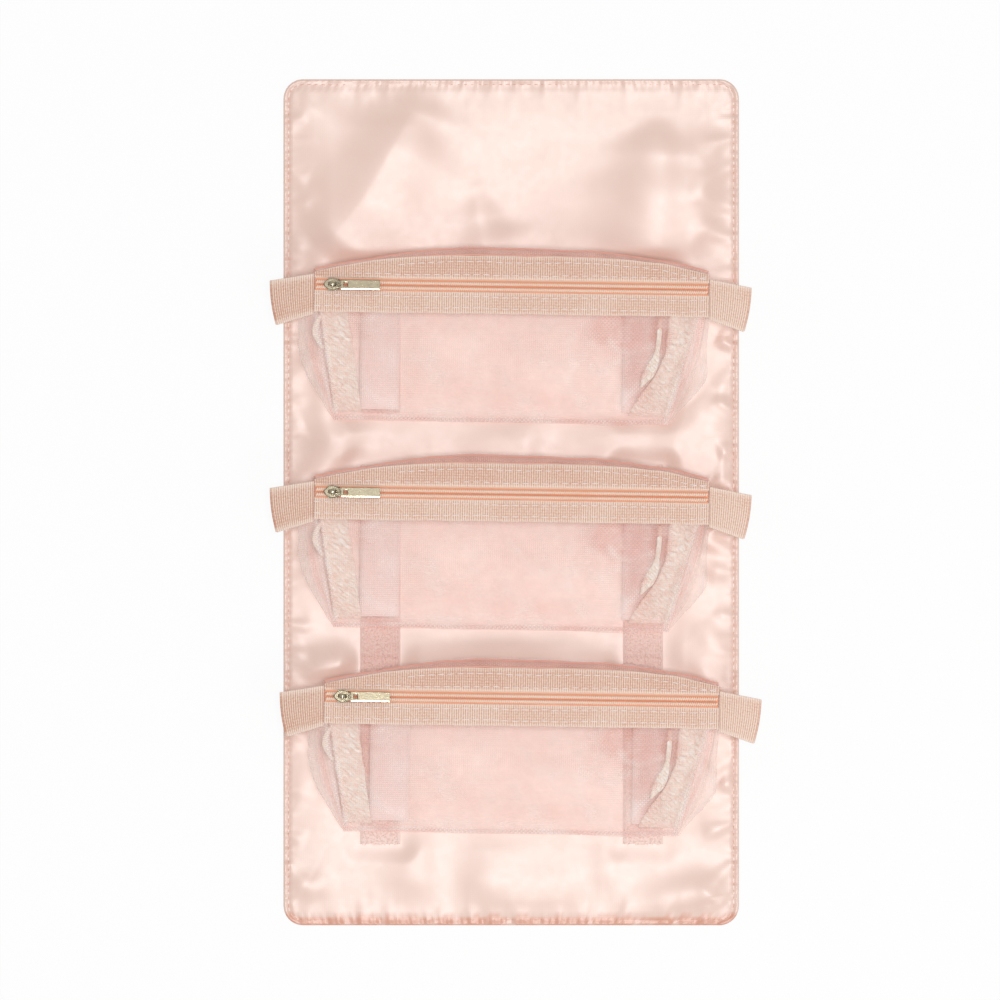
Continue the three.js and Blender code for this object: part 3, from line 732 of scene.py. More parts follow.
def hem_puckers(x, y):
    """Small gathers along the hem: puffs between its stitches and short wrinkles running inwards."""
    inward, run, stitch = hem_axes(x, y)
    groove = np.exp(-(((inward - HEM_STITCH_INSET) / 0.9) ** 2))
    puff = np.exp(-(((inward - 1.3) / 1.1) ** 2))
    wrinkle = ripples(run, inward * 0.25, 4.2, 11) + 0.6 * ripples(run, inward * 0.25, 9.0, 12)
    fade = np.exp(-inward / 7.5)
    return -groove * (0.42 + 0.3 * stitch) + puff * (0.16 - 0.24 * stitch) + 0.6 * wrinkle * fade


def hem_tone_and_shade(x, y):
    """How far the hem is darkened: a little on its doubled band, and painted shade in its stitch
    dimples and tucks, much the strongest along the mat's bottom end.
    """
    inward, run, stitch = hem_axes(x, y)
    dimple_shade = np.exp(-((inward - HEM_STITCH_INSET) ** 2)) * (0.55 + 0.45 * stitch)
    worn = 0.5 + 0.5 * ripples(run, inward * 0.3, 6.0, 13)
    band = 1 - smooth(inward, 3.6, 5.2)
    tuck_shade = np.exp(-np.maximum(inward - 4, 0) / 5.0) * np.maximum(ripples(run, inward * 0.15, 4.2, 11), 0)
    # Painted shade: much deeper along the mat's bottom end
    deep = 0.34 + 4.4 * smooth(-y, 251, 256)
    return np.clip(deep * (0.06 * band + 0.2 * band * worn + 0.9 * dimple_shade * worn + 0.35 * tuck_shade), 0, 1)


def mat_piece(name, low, high):
    """One length of the mat between two heights: a thin closed slab that follows the relief."""
    rows = [low, high]
    corner = MAT_HALF_LENGTH - MAT_CORNER
    arc = [MAT_CORNER * math.sin(math.radians(a)) for a in (15, 30, 43, 55, 66, 75, 82, 87)]
    ends = [s * (corner + a) for s in (-1, 1) for a in [0, *arc]]
    rim_rows = [s * (MAT_HALF_LENGTH - d) for s in (-1, 1) for d in (0.15, 0.5, 1.0)]
    inner = np.arange(max(low, -corner) + MAT_STEP, min(high, corner) - 0.6, MAT_STEP)
    rows += [y for y in [*ends, *rim_rows] if low < y < high]
    rows = np.array(sorted({round(float(v), 4) for v in [*rows, *inner]}))
    half = np.where(
        np.abs(rows) > corner,
        MAT_HALF_WIDTH - MAT_CORNER + np.sqrt(np.maximum(MAT_CORNER**2 - (np.abs(rows) - corner) ** 2, 0)),
        MAT_HALF_WIDTH,
    )
    share = spread(2 * MAT_HALF_WIDTH, 1.4, (0.12, 0.4, 0.9, 1.6, 2.4, 3.2, 4.0, 5.0, 6.2)) * 2 - 1
    x = share[:, None] * half[None, :]
    y = np.broadcast_to(rows[None, :], x.shape)
    inward = np.maximum(edge_distance(x, y), 0)
    rim = np.sqrt(1 - (1 - np.clip(inward / MAT_RIM, 0, 1)) ** 2)
    lift = mat_lift(x, y)
    puckers = hem_puckers(x, y) * rim
    middle = MAT_THICKNESS / 2 + lift
    top = np.stack([x, y, middle + rim * MAT_THICKNESS / 2 + puckers], axis=2)
    bottom = np.stack([x, y, np.maximum(middle - rim * MAT_THICKNESS / 2 + 0.3 * puckers, 0.02)], axis=2)
    columns, count = x.shape[0] - 1, x.shape[1] - 1
    faces = grid_faces(columns, count)
    offset = (columns + 1) * (count + 1)
    at = lambda i, j: i * (count + 1) + j
    faces += [tuple(offset + k for k in reversed(face)) for face in grid_faces(columns, count)]

    def wall(a, b):
        faces.append((a, offset + a, offset + b, b))

    for i in range(columns):
        wall(at(i, 0), at(i + 1, 0))
        wall(at(i + 1, count), at(i, count))
    for j in range(count):
        wall(at(0, j + 1), at(0, j))
        wall(at(columns, j), at(columns, j + 1))
    points = np.concatenate([top.reshape(-1, 3), bottom.reshape(-1, 3)])
    hem = np.concatenate([hem_tone_and_shade(x, y).ravel()] * 2)
    return make_piece(name, points, faces, satin, {"cloth": points[:, :2]}, {"hem": hem}, math.radians(60))


def mat():
    """Three lengths that meet in the middle of sections 1 and 2, each crossing one fold."""
    lengths = [
        ("mat_flap_and_section_1_top", MAT_CUTS[0], MAT_HALF_LENGTH, "flap", "upper", "flap"),
        ("mat_section_1_foot_and_section_2_top", MAT_CUTS[1], MAT_CUTS[0], "upper", "base", "upper"),
        ("mat_section_2_foot_and_section_3", -MAT_HALF_LENGTH, MAT_CUTS[1], "base", "lower", "lower"),
    ]
    nodes = [("mat_flap", "mat_section_1"), ("mat_section_2",), ("mat_section_3",)]
    for (name, low, high, above, below, fold), stands_for in zip(lengths, nodes):
        piece = mat_piece(name, low, high)
        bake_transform(piece)
        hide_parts(*stands_for)


# Stitches and other repeats, by Geometry Nodes


def node_group(name, floats, whole=()):
    """A Geometry Nodes tree with named inputs, those inputs as sockets, and its output node."""
    tree = bpy.data.node_groups.new(name, "GeometryNodeTree")
    tree.interface.new_socket("Geometry", in_out="INPUT", socket_type="NodeSocketGeometry")
    sockets = [(label, "NodeSocketFloat") for label in floats]
    sockets += [(label, "NodeSocketInt") for label in whole]
    for label, kind in [*sockets, ("Material", "NodeSocketMaterial")]:
        tree.interface.new_socket(label, in_out="INPUT", socket_type=kind)
    tree.interface.new_socket("Geometry", in_out="OUTPUT", socket_type="NodeSocketGeometry")
    return tree, add(tree, "NodeGroupInput").outputs, add(tree, "NodeGroupOutput")


def close_group(tree, output, geometry, material):
    """Ends a tree in Realize Instances and Set Material."""
    real = add(tree, "GeometryNodeRealizeInstances", {0: geometry})
    done = add(tree, "GeometryNodeSetMaterial", {"Geometry": real, "Material": material})
    tree.links.new(done.outputs[0], output.inputs[0])


def run_group(name, tree, values, mesh=None):
    """A plain mesh piece made by a tree, its inputs set by the sockets' identifiers."""
    piece = linked(name, mesh or bpy.data.meshes.new(name))
    modifier = piece.modifiers.new("make", "NODES")
    modifier.node_group = tree
    sockets = {s.name: s.identifier for s in tree.interface.items_tree if s.in_out == "INPUT"}
    for label, value in values.items():
        modifier[sockets[label]] = value
    return baked(piece)


def stitch_group():
    """Runs dashes of thread along every edge path it is given."""
    tree, given, output = node_group("running_stitch", ("Pitch", "Dash", "Thread"))
    path = add(tree, "GeometryNodeMeshToCurve", {0: given["Geometry"]})
    points = {"Curve": path, "Length": given["Pitch"]}
    points = add(tree, "GeometryNodeResampleCurve", points, mode="LENGTH")
    dash = add(tree, "GeometryNodeMeshUVSphere", {"Segments": 6, "Rings": 5, "Radius": 0.5})
    size = add(tree, "ShaderNodeCombineXYZ", {0: given["Dash"], 1: given["Thread"], 2: given["Thread"]})
    turned = {"Geometry": dash, "Rotation": (0, math.pi / 2, 0)}
    turned = add(tree, "GeometryNodeTransform", turned)
    shaped = add(tree, "GeometryNodeTransform", {"Geometry": turned, "Scale": size})
    tangent = add(tree, "GeometryNodeInputTangent")
    turn = add(tree, "FunctionNodeAlignRotationToVector", {"Vector": tangent}, axis="X")
    placed = {"Points": points, "Instance": shaped, "Rotation": turn}
    close_group(tree, output, add(tree, "GeometryNodeInstanceOnPoints", placed), given["Material"])
    return tree


def coil_group():
    """One coil row: a spiral wire flattened to the chain's section and laid along X."""
    floats = ("Turns", "Length", "Half width", "Half height", "Wire")
    tree, given, output = node_group("zip_coil", floats)
    spiral = {"Resolution": 9, "Rotations": given["Turns"], "Height": given["Length"]}
    spiral |= {"Start Radius": 1.0, "End Radius": 1.0}
    spiral = add(tree, "GeometryNodeCurveSpiral", spiral)
    flat = {0: given["Half height"], 1: given["Half width"], 2: 1.0}
    flat = add(tree, "ShaderNodeCombineXYZ", flat)
    section = add(tree, "GeometryNodeTransform", {"Geometry": spiral, "Scale": flat})
    laid = {"Geometry": section, "Rotation": (0, math.pi / 2, 0)}
    laid = add(tree, "GeometryNodeTransform", laid)
    wire = {"Resolution": 6, "Radius": given["Wire"]}
    wire = add(tree, "GeometryNodeCurvePrimitiveCircle", wire)
    tube = {"Curve": laid, "Profile Curve": wire, "Fill Caps": True}
    close_group(tree, output, add(tree, "GeometryNodeCurveToMesh", tube), given["Material"])
    return tree


def bristle_group(name, hooked):
    """Hooks or loops of nylon scattered over a strip, jittered by a fixed seed."""
    floats = ("Width", "Length", "Spacing", "Height")
    tree, given, output = node_group(name, floats, whole=("Seed",))
    counts = []
    for span in ("Length", "Width"):
        ratio = add(tree, "ShaderNodeMath", {0: given[span], 1: given["Spacing"]}, operation="DIVIDE")
        counts.append(add(tree, "FunctionNodeFloatToInt", {0: ratio}))
    field = {"Size X": given["Length"], "Size Y": given["Width"]}
    field |= {"Vertices X": counts[0], "Vertices Y": counts[1]}
    field = add(tree, "GeometryNodeMeshGrid", field)
    reach = add(tree, "ShaderNodeMath", {0: given["Spacing"], 1: 0.45}, operation="MULTIPLY")
    back = add(tree, "ShaderNodeMath", {0: reach, 1: -1.0}, operation="MULTIPLY")
    low = add(tree, "ShaderNodeCombineXYZ", {0: back, 1: back})
    high = add(tree, "ShaderNodeCombineXYZ", {0: reach, 1: reach})
    jitter = {0: low, 1: high, "Seed": given["Seed"]}
    jitter = add(tree, "FunctionNodeRandomValue", jitter, data_type="FLOAT_VECTOR")
    shifted = add(tree, "GeometryNodeSetPosition", {"Geometry": field, "Offset": jitter})
    sweep = math.radians(235 if hooked else 200)
    curl = {"Resolution": 6, "Radius": 0.5, "Start Angle": 0.0, "Sweep Angle": sweep}
    curl = add(tree, "GeometryNodeCurveArc", curl, mode="RADIUS")
    upright = {"Geometry": curl, "Rotation": (math.pi / 2, 0, 0)}
    upright = add(tree, "GeometryNodeTransform", upright)
    wire = add(tree, "GeometryNodeCurvePrimitiveCircle", {"Resolution": 4, "Radius": 0.11})
    tube = add(tree, "GeometryNodeCurveToMesh", {"Curve": upright, "Profile Curve": wire})
    sized = add(tree, "ShaderNodeCombineXYZ", {i: given["Height"] for i in range(3)})
    turn = {0: (-0.25, -0.25, 0.0), 1: (0.25, 0.25, 6.28), "Seed": given["Seed"]}
    turn = add(tree, "FunctionNodeRandomValue", turn, data_type="FLOAT_VECTOR")
    placed = {"Points": shifted, "Instance": tube, "Rotation": turn, "Scale": sized}
    close_group(tree, output, add(tree, "GeometryNodeInstanceOnPoints", placed), given["Material"])
    return tree


running_stitch = stitch_group()
zip_coil = coil_group()
loops = bristle_group("loop_nap", hooked=False)
hooks = bristle_group("hook_field", hooked=True)


def stitches(name, paths, kind, material):
    """Dashes of thread along paths of points in millimetres."""
    points, edges = [], []
    for path in paths:
        path = np.asarray(path, float) * MM
        edges += [(len(points) + k, len(points) + k + 1) for k in range(len(path) - 1)]
        points += path.tolist()
    mesh = bpy.data.meshes.new(name)
    mesh.from_pydata(points, edges, [])
    values = {key: size * MM for key, size in zip(("Pitch", "Dash", "Thread"), STITCHES[kind])}
    values["Material"] = material
    return smoothed(run_group(name, running_stitch, values, mesh))


def hem_stitches():
    """The hem's topstitch, one piece for each body it runs over."""
    inset = HEM_STITCH_INSET
    side = MAT_HALF_WIDTH - inset
    end = MAT_HALF_LENGTH - inset
    corner = MAT_CORNER - inset

    def side_path(low, high):
        y = np.arange(low, high + 0.01, 1.5)
        return [np.stack([np.full(y.shape, s * side), y], axis=1) for s in (-1, 1)]

    def end_path(sign):
        turn = np.radians(np.arange(0, 90.1, 10))
        right = [(side - corner + corner * math.cos(t), end - corner + corner * math.sin(t)) for t in turn]
        top = [(x, end) for x in np.arange(side - corner - 1.5, corner - side, -1.5)]
        path = right + top + [(-x, y) for x, y in reversed(right)]
        return np.array([(x, sign * y) for x, y in path])

    gap = FOLD_ZONE
    spans = {
        "flap": [*side_path(FOLD_LINES["flap"] + gap, MAT_HALF_LENGTH - MAT_CORNER), end_path(1)],
        "upper": side_path(FOLD_LINES["upper"] + gap, FOLD_LINES["flap"] - gap),
        "base": side_path(FOLD_LINES["lower"] + gap, FOLD_LINES["upper"] - gap),
        "lower": [*side_path(MAT_CORNER - MAT_HALF_LENGTH, FOLD_LINES["lower"] - gap), end_path(-1)],
    }

    def sewn(name, paths):
        lifted = []
        for x, y in (path.T for path in paths):
            z = MAT_THICKNESS + mat_lift(x, y) + hem_puckers(x, y) + 0.05
            lifted.append(np.stack([x, y, z], axis=1))
        return stitches(f"hem_stitches_{name}", lifted, "hem", hem_thread)

    for body, paths in spans.items():
        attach(sewn(body, paths), body)
    pairs = {"flap": ("flap", "upper"), "upper": ("upper", "base"), "lower": ("base", "lower")}
    for fold, (above, below) in pairs.items():
        line = FOLD_LINES[fold]
        paths = side_path(line - gap + HEM_STITCH_PITCH, line + gap - HEM_STITCH_PITCH)
        start, end = (0, (line + gap) * MM, 0), (0, (line - gap) * MM, 0)
        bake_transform(sewn(f"fold_{fold}", paths))


def strip_grid(centre, low, high, level):
    """A grid of points on a straight strip whose length runs up the mat."""
    y = np.linspace(low, high, 47)
    x = np.linspace(STRIP_WIDTH / 2, -STRIP_WIDTH / 2, 9) + centre
    return np.stack(np.broadcast_arrays(x[None, :], y[:, None], level), axis=2)


def loop_length(name, centre, low, high, ends, seed):
    """A length of loop tape with its nap and its stitches, sewn across where an end is listed."""
    middle = strip_grid(centre, low, high, MAT_THICKNESS + 0.35)
    ground = strip_piece(f"{name}_tape", middle, 0.7, loop_ground, middle[:, :, [1, 0]])
    values = {
        "Width": (STRIP_WIDTH - 2 * STRIP_STITCH_INSET) * MM,
        "Length": (high - low) * MM,
        "Spacing": 1.5 * MM,
        "Height": 1.5 * MM,
        "Seed": seed,
        "Material": loop_ground,
    }
    nap = run_group(f"{name}_nap", loops, values)
    offset = np.array([centre, (low + high) / 2, MAT_THICKNESS + 0.5])
    moved(nap, lambda p: np.stack([-p[:, 1], p[:, 0], p[:, 2]], axis=1) + offset)
    for part in (ground, nap):
        # Painted light on the strips at the right, and paler near the mat's bottom end
        worn = 0.6 * smooth(-points_of(part.data)[:, 1], 150, 200) + 0.3 * (centre > 0)
        mark(part.data, "worn", worn)
    edge = STRIP_WIDTH / 2 - STRIP_STITCH_INSET
    level = MAT_THICKNESS + 0.75
    run = np.linspace(low + 0.5, high - 0.5, 24)
    paths = [[(centre + side * edge, y, level) for y in run] for side in (-1, 1)]
    paths += [[(centre - edge, y, level), (centre + edge, y, level)] for y in ends]
    return ground, nap, stitches(f"{name}_stitches", paths, "strip", pale_thread)


def loop_strips():
    """Two runs of loop tape down the mat: one for pouch 1, and one for 2 and 3 across the lower fold."""
    fold = FOLD_LINES["lower"]
    above, below = fold + FOLD_ZONE, fold - FOLD_ZONE
    (foot_1, top_1), (_, top_2), (foot_3, _) = LOOP_SPANS.values()
    inset = STRIP_STITCH_INSET
    spans = {
        1: ("upper", foot_1, top_1, (foot_1 + inset, top_1 - inset)),
        2: ("base", above, top_2, (top_2 - inset,)),
        3: ("lower", foot_3, below, (foot_3 + inset,)),
    }
    for side, centre in STRIP_X.items():
        for number, (body, low, high, ends) in spans.items():
            name = f"loop_strip_{number}_{side}"
            pieces = loop_length(name, centre, low, high, ends, number)
            for piece in pieces:
                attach(piece, body)
            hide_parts(name)
        for piece in loop_length(f"loop_strip_fold_{side}", centre, below, above, (), 4):
            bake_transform(piece)


# The pouch's curves, in its own frame. A share runs from its left end to its right, but a front
# share runs down from the zip panel to the bottom seam, and a side's share runs up from it.
# The knots add the cloth's own unevenness, in millimetres, to the even arch of the two rear edges
WEBBING_KNOTS = ([0, 0.15, 0.32, 0.53, 0.76, 0.88, 1], [-1.3, 1.0, 0.3, -1.0, 0.0, 0.4, -1.6])
REAR_KNOTS = ([0, 0.13, 0.38, 0.58, 0.78, 0.9, 1], [0.0, -1.7, 1.2, -1.0, -1.4, -2.5, -2.7])


def arch(share):
    return 1 - np.abs(2 * share - 1) ** 2.3


def webbing_top(share):
    return 8.4 + 2.3 * share + 9.8 * arch(share) + np.interp(share, *WEBBING_KNOTS)


def rear_edge(share):
    return 9.6 + 5.0 * share + 12.6 * arch(share) + np.interp(share, *REAR_KNOTS)


def front_share(y):
    return np.clip((FRONT_TOP - y) / (FRONT_TOP - BOTTOM_SEAM), 0, 1)


def front_level(y):
    share = front_share(y)
    return FRONT_TOP_LEVEL + (FRONT_BOTTOM_LEVEL - FRONT_TOP_LEVEL) * share + 2 * np.sin(np.pi * share)


def seam_x(side, y):
    top, bottom = (-119.5, -108.0) if side == "left" else (118.0, 97.0)
    return top + (bottom - top) * front_share(y)


def back_side_x(side, share):
    if side == "left":
        return -108 - 14 * share - 9.4 * np.sin(np.pi * share)
    return 97 + 24 * share + 6 * np.sin(np.pi * share)


# The front sheet's standing creases, in a pouch's own frame: points, half width and added plies.
# Each is raised a little, and painted paler along its line: a painted highlight
CREASES = [
    ([(-88, -66), (-75, -73.8), (-64, -77.3), (-44, -77.6), (-16, -78.6), (24, -79.4)], 2.6, 0.9),
    ([(37, -24), (34.5, -44), (37, -60), (44, -71), (56, -78)], 3.4, 0.5),
    ([(60, -31), (66, -38), (78, -39), (86, -35)], 1.8, 0.8),
    ([(52, -50), (60, -46), (76, -45), (84, -47)], 3.0, 0.8),
    ([(64, -77), (72, -66), (82, -56), (90, -40)], 2.4, 0.8),
    ([(-90, -40), (-73, -40), (-72.5, -58), (-73, -76)], 1.1, 0.5),
    ([(-98, -20), (-92, -22), (-70, -15)], 1.8, 0.6),
]
# Where the slack front gathers in two or three layers: centre, half sizes and added plies. The
# added plies paint each patch pinker and darker, partly as painted shade
GATHERED = [
    ((66, -26), (24, 13), 1.4),
    ((78, -52), (10, 22), 0.9),
    ((92, -26), (7, 17), 1.5),
    ((-89, -23), (11, 12), 1.0),
    ((-84, -62), (10, 18), 0.15),
    ((8, -64), (46, 12), 0.3),
]


def crease_share(x, y, points, half_width):
    """1 on a crease's line and fading out from it."""
    distance = np.full(np.broadcast(x, y).shape, 1e9)
    for a, b in zip(np.array(points, float), np.array(points[1:], float)):
        run = b - a
        share = np.clip(((x - a[0]) * run[0] + (y - a[1]) * run[1]) / (run @ run), 0, 1)
        distance = np.minimum(distance, np.hypot(x - a[0] - share * run[0], y - a[1] - share * run[1]))
    return np.exp(-((distance / half_width) ** 2))


class Pouch:
    """One zip pouch. Its pieces are made in its own frame and carried to its place on the mat."""

    def __init__(self, number):
        self.number = number
        self.origin = np.array([*POUCH_PLACES[number], POUCH_LEVEL])
        cos, sin = math.cos(POUCH_TURN), math.sin(POUCH_TURN)
        self.turn = np.array([[cos, -sin, 0.0], [sin, cos, 0.0], [0.0, 0.0, 1.0]])

    def placed(self, points):
        return np.asarray(points, float) @ self.turn.T + self.origin

    def label(self, piece):
        return f"pouch_{self.number}_{piece}"

    def strip(self, name, middle, *rest, **options):
        """A strip piece about a grid of points in the pouch's own frame."""
        return strip_piece(self.label(name), self.placed(middle), *rest, **options)

    def sheet(self, name, middle, *rest):
        """A sheer sheet over a grid of points in the pouch's own frame."""
        return sheet_piece(self.label(name), self.placed(middle), organza, *rest)

    def sew(self, name, paths, kind):
        """Pale stitches along paths of points in the pouch's own frame."""
        return stitches(self.label(name), [self.placed(p) for p in paths], kind, pale_thread)

    def finish(self, piece, body, slot, *nodes):
        moving = f"{body}_{self.number}"
        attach(piece, moving)
        if nodes:
            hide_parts(*[self.label(n) for n in nodes])
        return piece

    def front_panel(self):
        """The front: one slack sheer sheet from the bottom seam up under the lower webbing."""
        u = spread(PANEL_LENGTH, 1.0, SEAM_MARGINS)
        v = spread(FRONT_DEPTH, 1.0, SEAM_MARGINS)
        y = (BOTTOM_SEAM + (FRONT_TOP - BOTTOM_SEAM) * v)[None, :] + 0 * u[:, None]
        left, right = seam_x("left", y), seam_x("right", y)
        x = left + (right - left) * u[:, None]
        inner = np.minimum(x - left, right - x)
        low = y - BOTTOM_SEAM
        slack = smooth(inner, 0, 22) * smooth(low, 0, 16) * smooth(FRONT_TOP - y, 6, 26)
        z = front_level(y) - 2.4 * slack
        z += slack * (1.3 * ripples(x * 0.5, y, 13.0, 21) + 0.5 * ripples(x, y * 0.6, 7.0, 22))
        seam_pull = np.exp(-low / 9.0) * (1 - np.exp(-low / 1.5))
        z += 0.35 * seam_pull * ripples(x, low * 0.2, 6.0, 23)
        y = y + 1.2 * np.exp(-low / 6.0) * ripples(x, 0 * x, 34.0, 24) * smooth(inner, 0, 12)
        creases = sum(0.7 * more * crease_share(x, y, line, 1.3 * wide) for line, wide, more in CREASES)
        z = z + 0.3 * creases
        middle = np.stack([x, y, z], axis=2)
        seams = 1 - (1 - (inner < SEAM) * 0.7) * (1 - (low < SEAM) * 0.7)
        plies = 1 + 2.2 * seams + creases
        # Gathered patches: more plies, painted pinker and darker, partly painted shade
        for (cx, cy), (wide, tall), more in GATHERED:
            away_x = (x - cx + 2.5 * ripples(x, y, 9.0, 25)) / wide
            away_y = (y - cy + 2.5 * ripples(x, y, 9.0, 26)) / tall
            plies = plies + more * (1 - smooth(np.hypot(away_x, away_y), 0.55, 1.25))
        plies = plies + slack * (0.5 * ripples(x * 0.7, y, 19.0, 27) + 0.35 * ripples(x, y * 0.5, 7.0, 28))
        # The crease mark: a painted highlight along the seams and creases
        pale = np.clip(creases + seams, 0, 1)
        piece = self.sheet("front_panel", middle, middle[:, :, :2], plies, pale)
        self.finish(piece, "pouch", "mesh", "front_mesh")

    def back_panel(self):
        """The back lies on the strips and turns up behind the zip panel in one sheet."""
        u = spread(PANEL_LENGTH, 3.0, SEAM_MARGINS)
        flat = spread(BACK_DEPTH, 3.0, SEAM_MARGINS)
        up = np.linspace(0, 1, 10)[1:]
        along = np.concatenate([flat, np.ones(len(up))])[None, :]
        rise = np.concatenate([np.zeros(len(flat)), up])[None, :]
        share = u[:, None]
        foot = BOTTOM_SEAM + (rear_edge(share) - BOTTOM_SEAM) * along
        left, right = back_side_x("left", along), back_side_x("right", along)
        x = left + (right - left) * share
        x = x + (-119.5 + 237.5 * share - x) * rise
        y = foot + (webbing_top(share) - 1 - foot) * rise**1.8
        billow = np.sin(np.pi * rise)
        z = BACK_LEVEL + (25.6 - BACK_LEVEL) * (1 - (1 - rise) ** 2.2)
        y = y + billow * (0.5 + 0.5 * ripples(x, rise * 0, 17.0, 31))
        inner = np.minimum(x - left, right - x)
        slack = smooth(inner, 2, 20) * smooth(foot - BOTTOM_SEAM, 2, 16) * (1 - rise)
        z = z + 0.3 * slack * (1 + ripples(x, y, 19.0, 32))
        middle = np.stack([x, y, z], axis=2)
        cloth = arc_lengths(middle)
        plies = 1 + 1.4 * (inner < SEAM) + 1.4 * (foot - BOTTOM_SEAM < SEAM)
        plies = np.where(foot > webbing_top(share) - 3, 5.2, plies)
        piece = self.sheet("back_panel", middle, cloth, plies, 0.0)
        self.finish(piece, "pouch", "mesh", "back_mesh")
        # Two deeper peach cords along the rear edge and the panel's fold: painted shadow lines
        for line, at in (("rear", 0.45), ("panel", 0.9)):
            row = int(np.argmin(np.abs(rise[0] - at) + 9 * (along[0] < 1)))
            path = middle[:, row] + [0.0, 0.25, 0.3]
            shade_line = tube_piece(self.label(f"{line}_piping"), self.placed(path), 0.5, shade_line_cord)
            self.finish(shade_line, "pouch", "mesh")

    def gusset(self, side):
        """An end gusset, from the zip panel's end and the front seam down to the back panel's side."""
        outward = -1 if side == "left" else 1
        end = 0.0 if side == "left" else 1.0
        bulge = 10.5 if side == "left" else 5.5
        top_y = webbing_top(end) - 1.8
        foot_y = rear_edge(end) - 0.8
        reach = rear_edge(end) - BOTTOM_SEAM
        along = spread(BACK_DEPTH, 2.6, SEAM_MARGINS)[:, None]
        down = spread(GUSSET_WIDTH, 1.8, (0.6, 1.4, 2.4))[None, :]
        if outward > 0:
            down = down[:, ::-1]
        y = (top_y + (foot_y - top_y) * down) * (1 - along) + BOTTOM_SEAM * along
        upper = seam_x(side, y) + outward * 0.8
        lower = back_side_x(side, (y - BOTTOM_SEAM) / reach) + outward * 0.8
        swell = np.sin(np.pi * down) * np.sin(np.pi * along)
        x = upper + (lower - upper) * down + outward * bulge * swell
        z = front_level(y) + (BACK_LEVEL - front_level(y)) * down**1.8
        crumple = 1.1 * ripples(y, z, 9.0, 41 + outward) + 0.5 * ripples(y, z, 4.5, 43 + outward)
        x = x + outward * (swell * crumple - 0.6)
        if outward > 0:
            x = x + 8.0 * np.sin(np.pi * down) ** 0.7 * np.exp(-(((y + 56) / 17) ** 2))
        middle = np.stack([x, y, z], axis=2)
        bands = np.exp(-(((down - 0.3 - 0.05 * np.sin(5 * along)) / 0.06) ** 2))
        bands = bands + np.exp(-(((down - 0.66) / 0.08) ** 2))
        seams = (np.minimum(down, 1 - down) * GUSSET_WIDTH < 1.5) + 0 * along
        plies = (1.3 if outward < 0 else 0.8) + 1.2 * seams + 0.7 * bands
        cloth = arc_lengths(middle)
        # Painted highlight over the whole gusset, strongest on its seams and its two bands
        painted_highlight = np.clip(0.5 + 0.7 * seams + 0.7 * bands, 0, 1)
        piece = self.sheet(f"{side}_gusset_panel", middle, cloth, plies, painted_highlight)
        self.finish(piece, "pouch", "mesh", f"{side}_gusset")

    def webbing(self, half):
        """Half of the zip panel: grosgrain that droops to its outer edge, drawn in where it is sewn."""
        upper = half == "upper"
        u = np.linspace(0, 1, 171)[:, None]
        v = np.linspace(0, 1, 15)[None, :]
        outer = webbing_top(u) if upper else LOWER_EDGE + 0 * u
        inner, inner_row = WEBBING_INNER[half], STITCH_INNER[half]
        across = v if upper else 1 - v
        y = inner + (outer - inner) * across
        x = -PANEL_HALF + 2 * PANEL_HALF * u + 0 * v
        level = PANEL_LEVEL + WEBBING / 2 - WEBBING_DROOP * across**4
        sewn = np.exp(-(((y - inner_row) / 0.8) ** 2))
        if upper:
            sewn = sewn + np.exp(-(((y - outer + UPPER_HEM) / 0.8) ** 2))
        z = level - 0.16 * sewn + 0.14 * ripples(x, y, 16.0, 51 + upper) + 0.06 * ripples(x, y, 5.0, 53)
        edge_wave = 0.22 * across**3 * ripples(x, 0 * x, 12.0, 55 + upper)
        middle = np.stack([x, y + edge_wave, z], axis=2)
        cloth = np.stack([x + 0 * y, y], axis=2)
        # The lower half faces the lamp, so painted light makes it paler
        worn = 0.0 if upper else 0.22
        piece = self.strip(f"{half}_webbing_tape", middle, WEBBING, webbing_cloth, cloth, worn)
        self.finish(piece, "pouch", "webbing", f"{half}_webbing")
        lines = []
        starts = {"inner": 0.11, "outer": 0.22} if upper else {"inner": 0.008, "outer": 0.008}
        for row, start in starts.items():
            share = np.linspace(start, 0.985, 161)
            px = -PANEL_HALF + 2 * PANEL_HALF * share
            if row == "inner":
                py = inner_row + 0 * share
            else:
                py = webbing_top(share) - UPPER_HEM if upper else LOWER_EDGE + LOWER_HEM + 0 * share
            py = py + 0.35 * ripples(px, 0 * px, 21.0, 57) + 0.22 * ripples(px, 0 * px, 5.0, 58)
            far = webbing_top(share) if upper else LOWER_EDGE
            part = (py - inner) / (far - inner)
            pz = PANEL_LEVEL + WEBBING - WEBBING_DROOP * part**4 + 0.1
            lines.append(np.stack([px, py, pz], axis=1))
        self.finish(self.sew(f"{half}_webbing_stitches", lines, "webbing"), "pouch", "webbing")

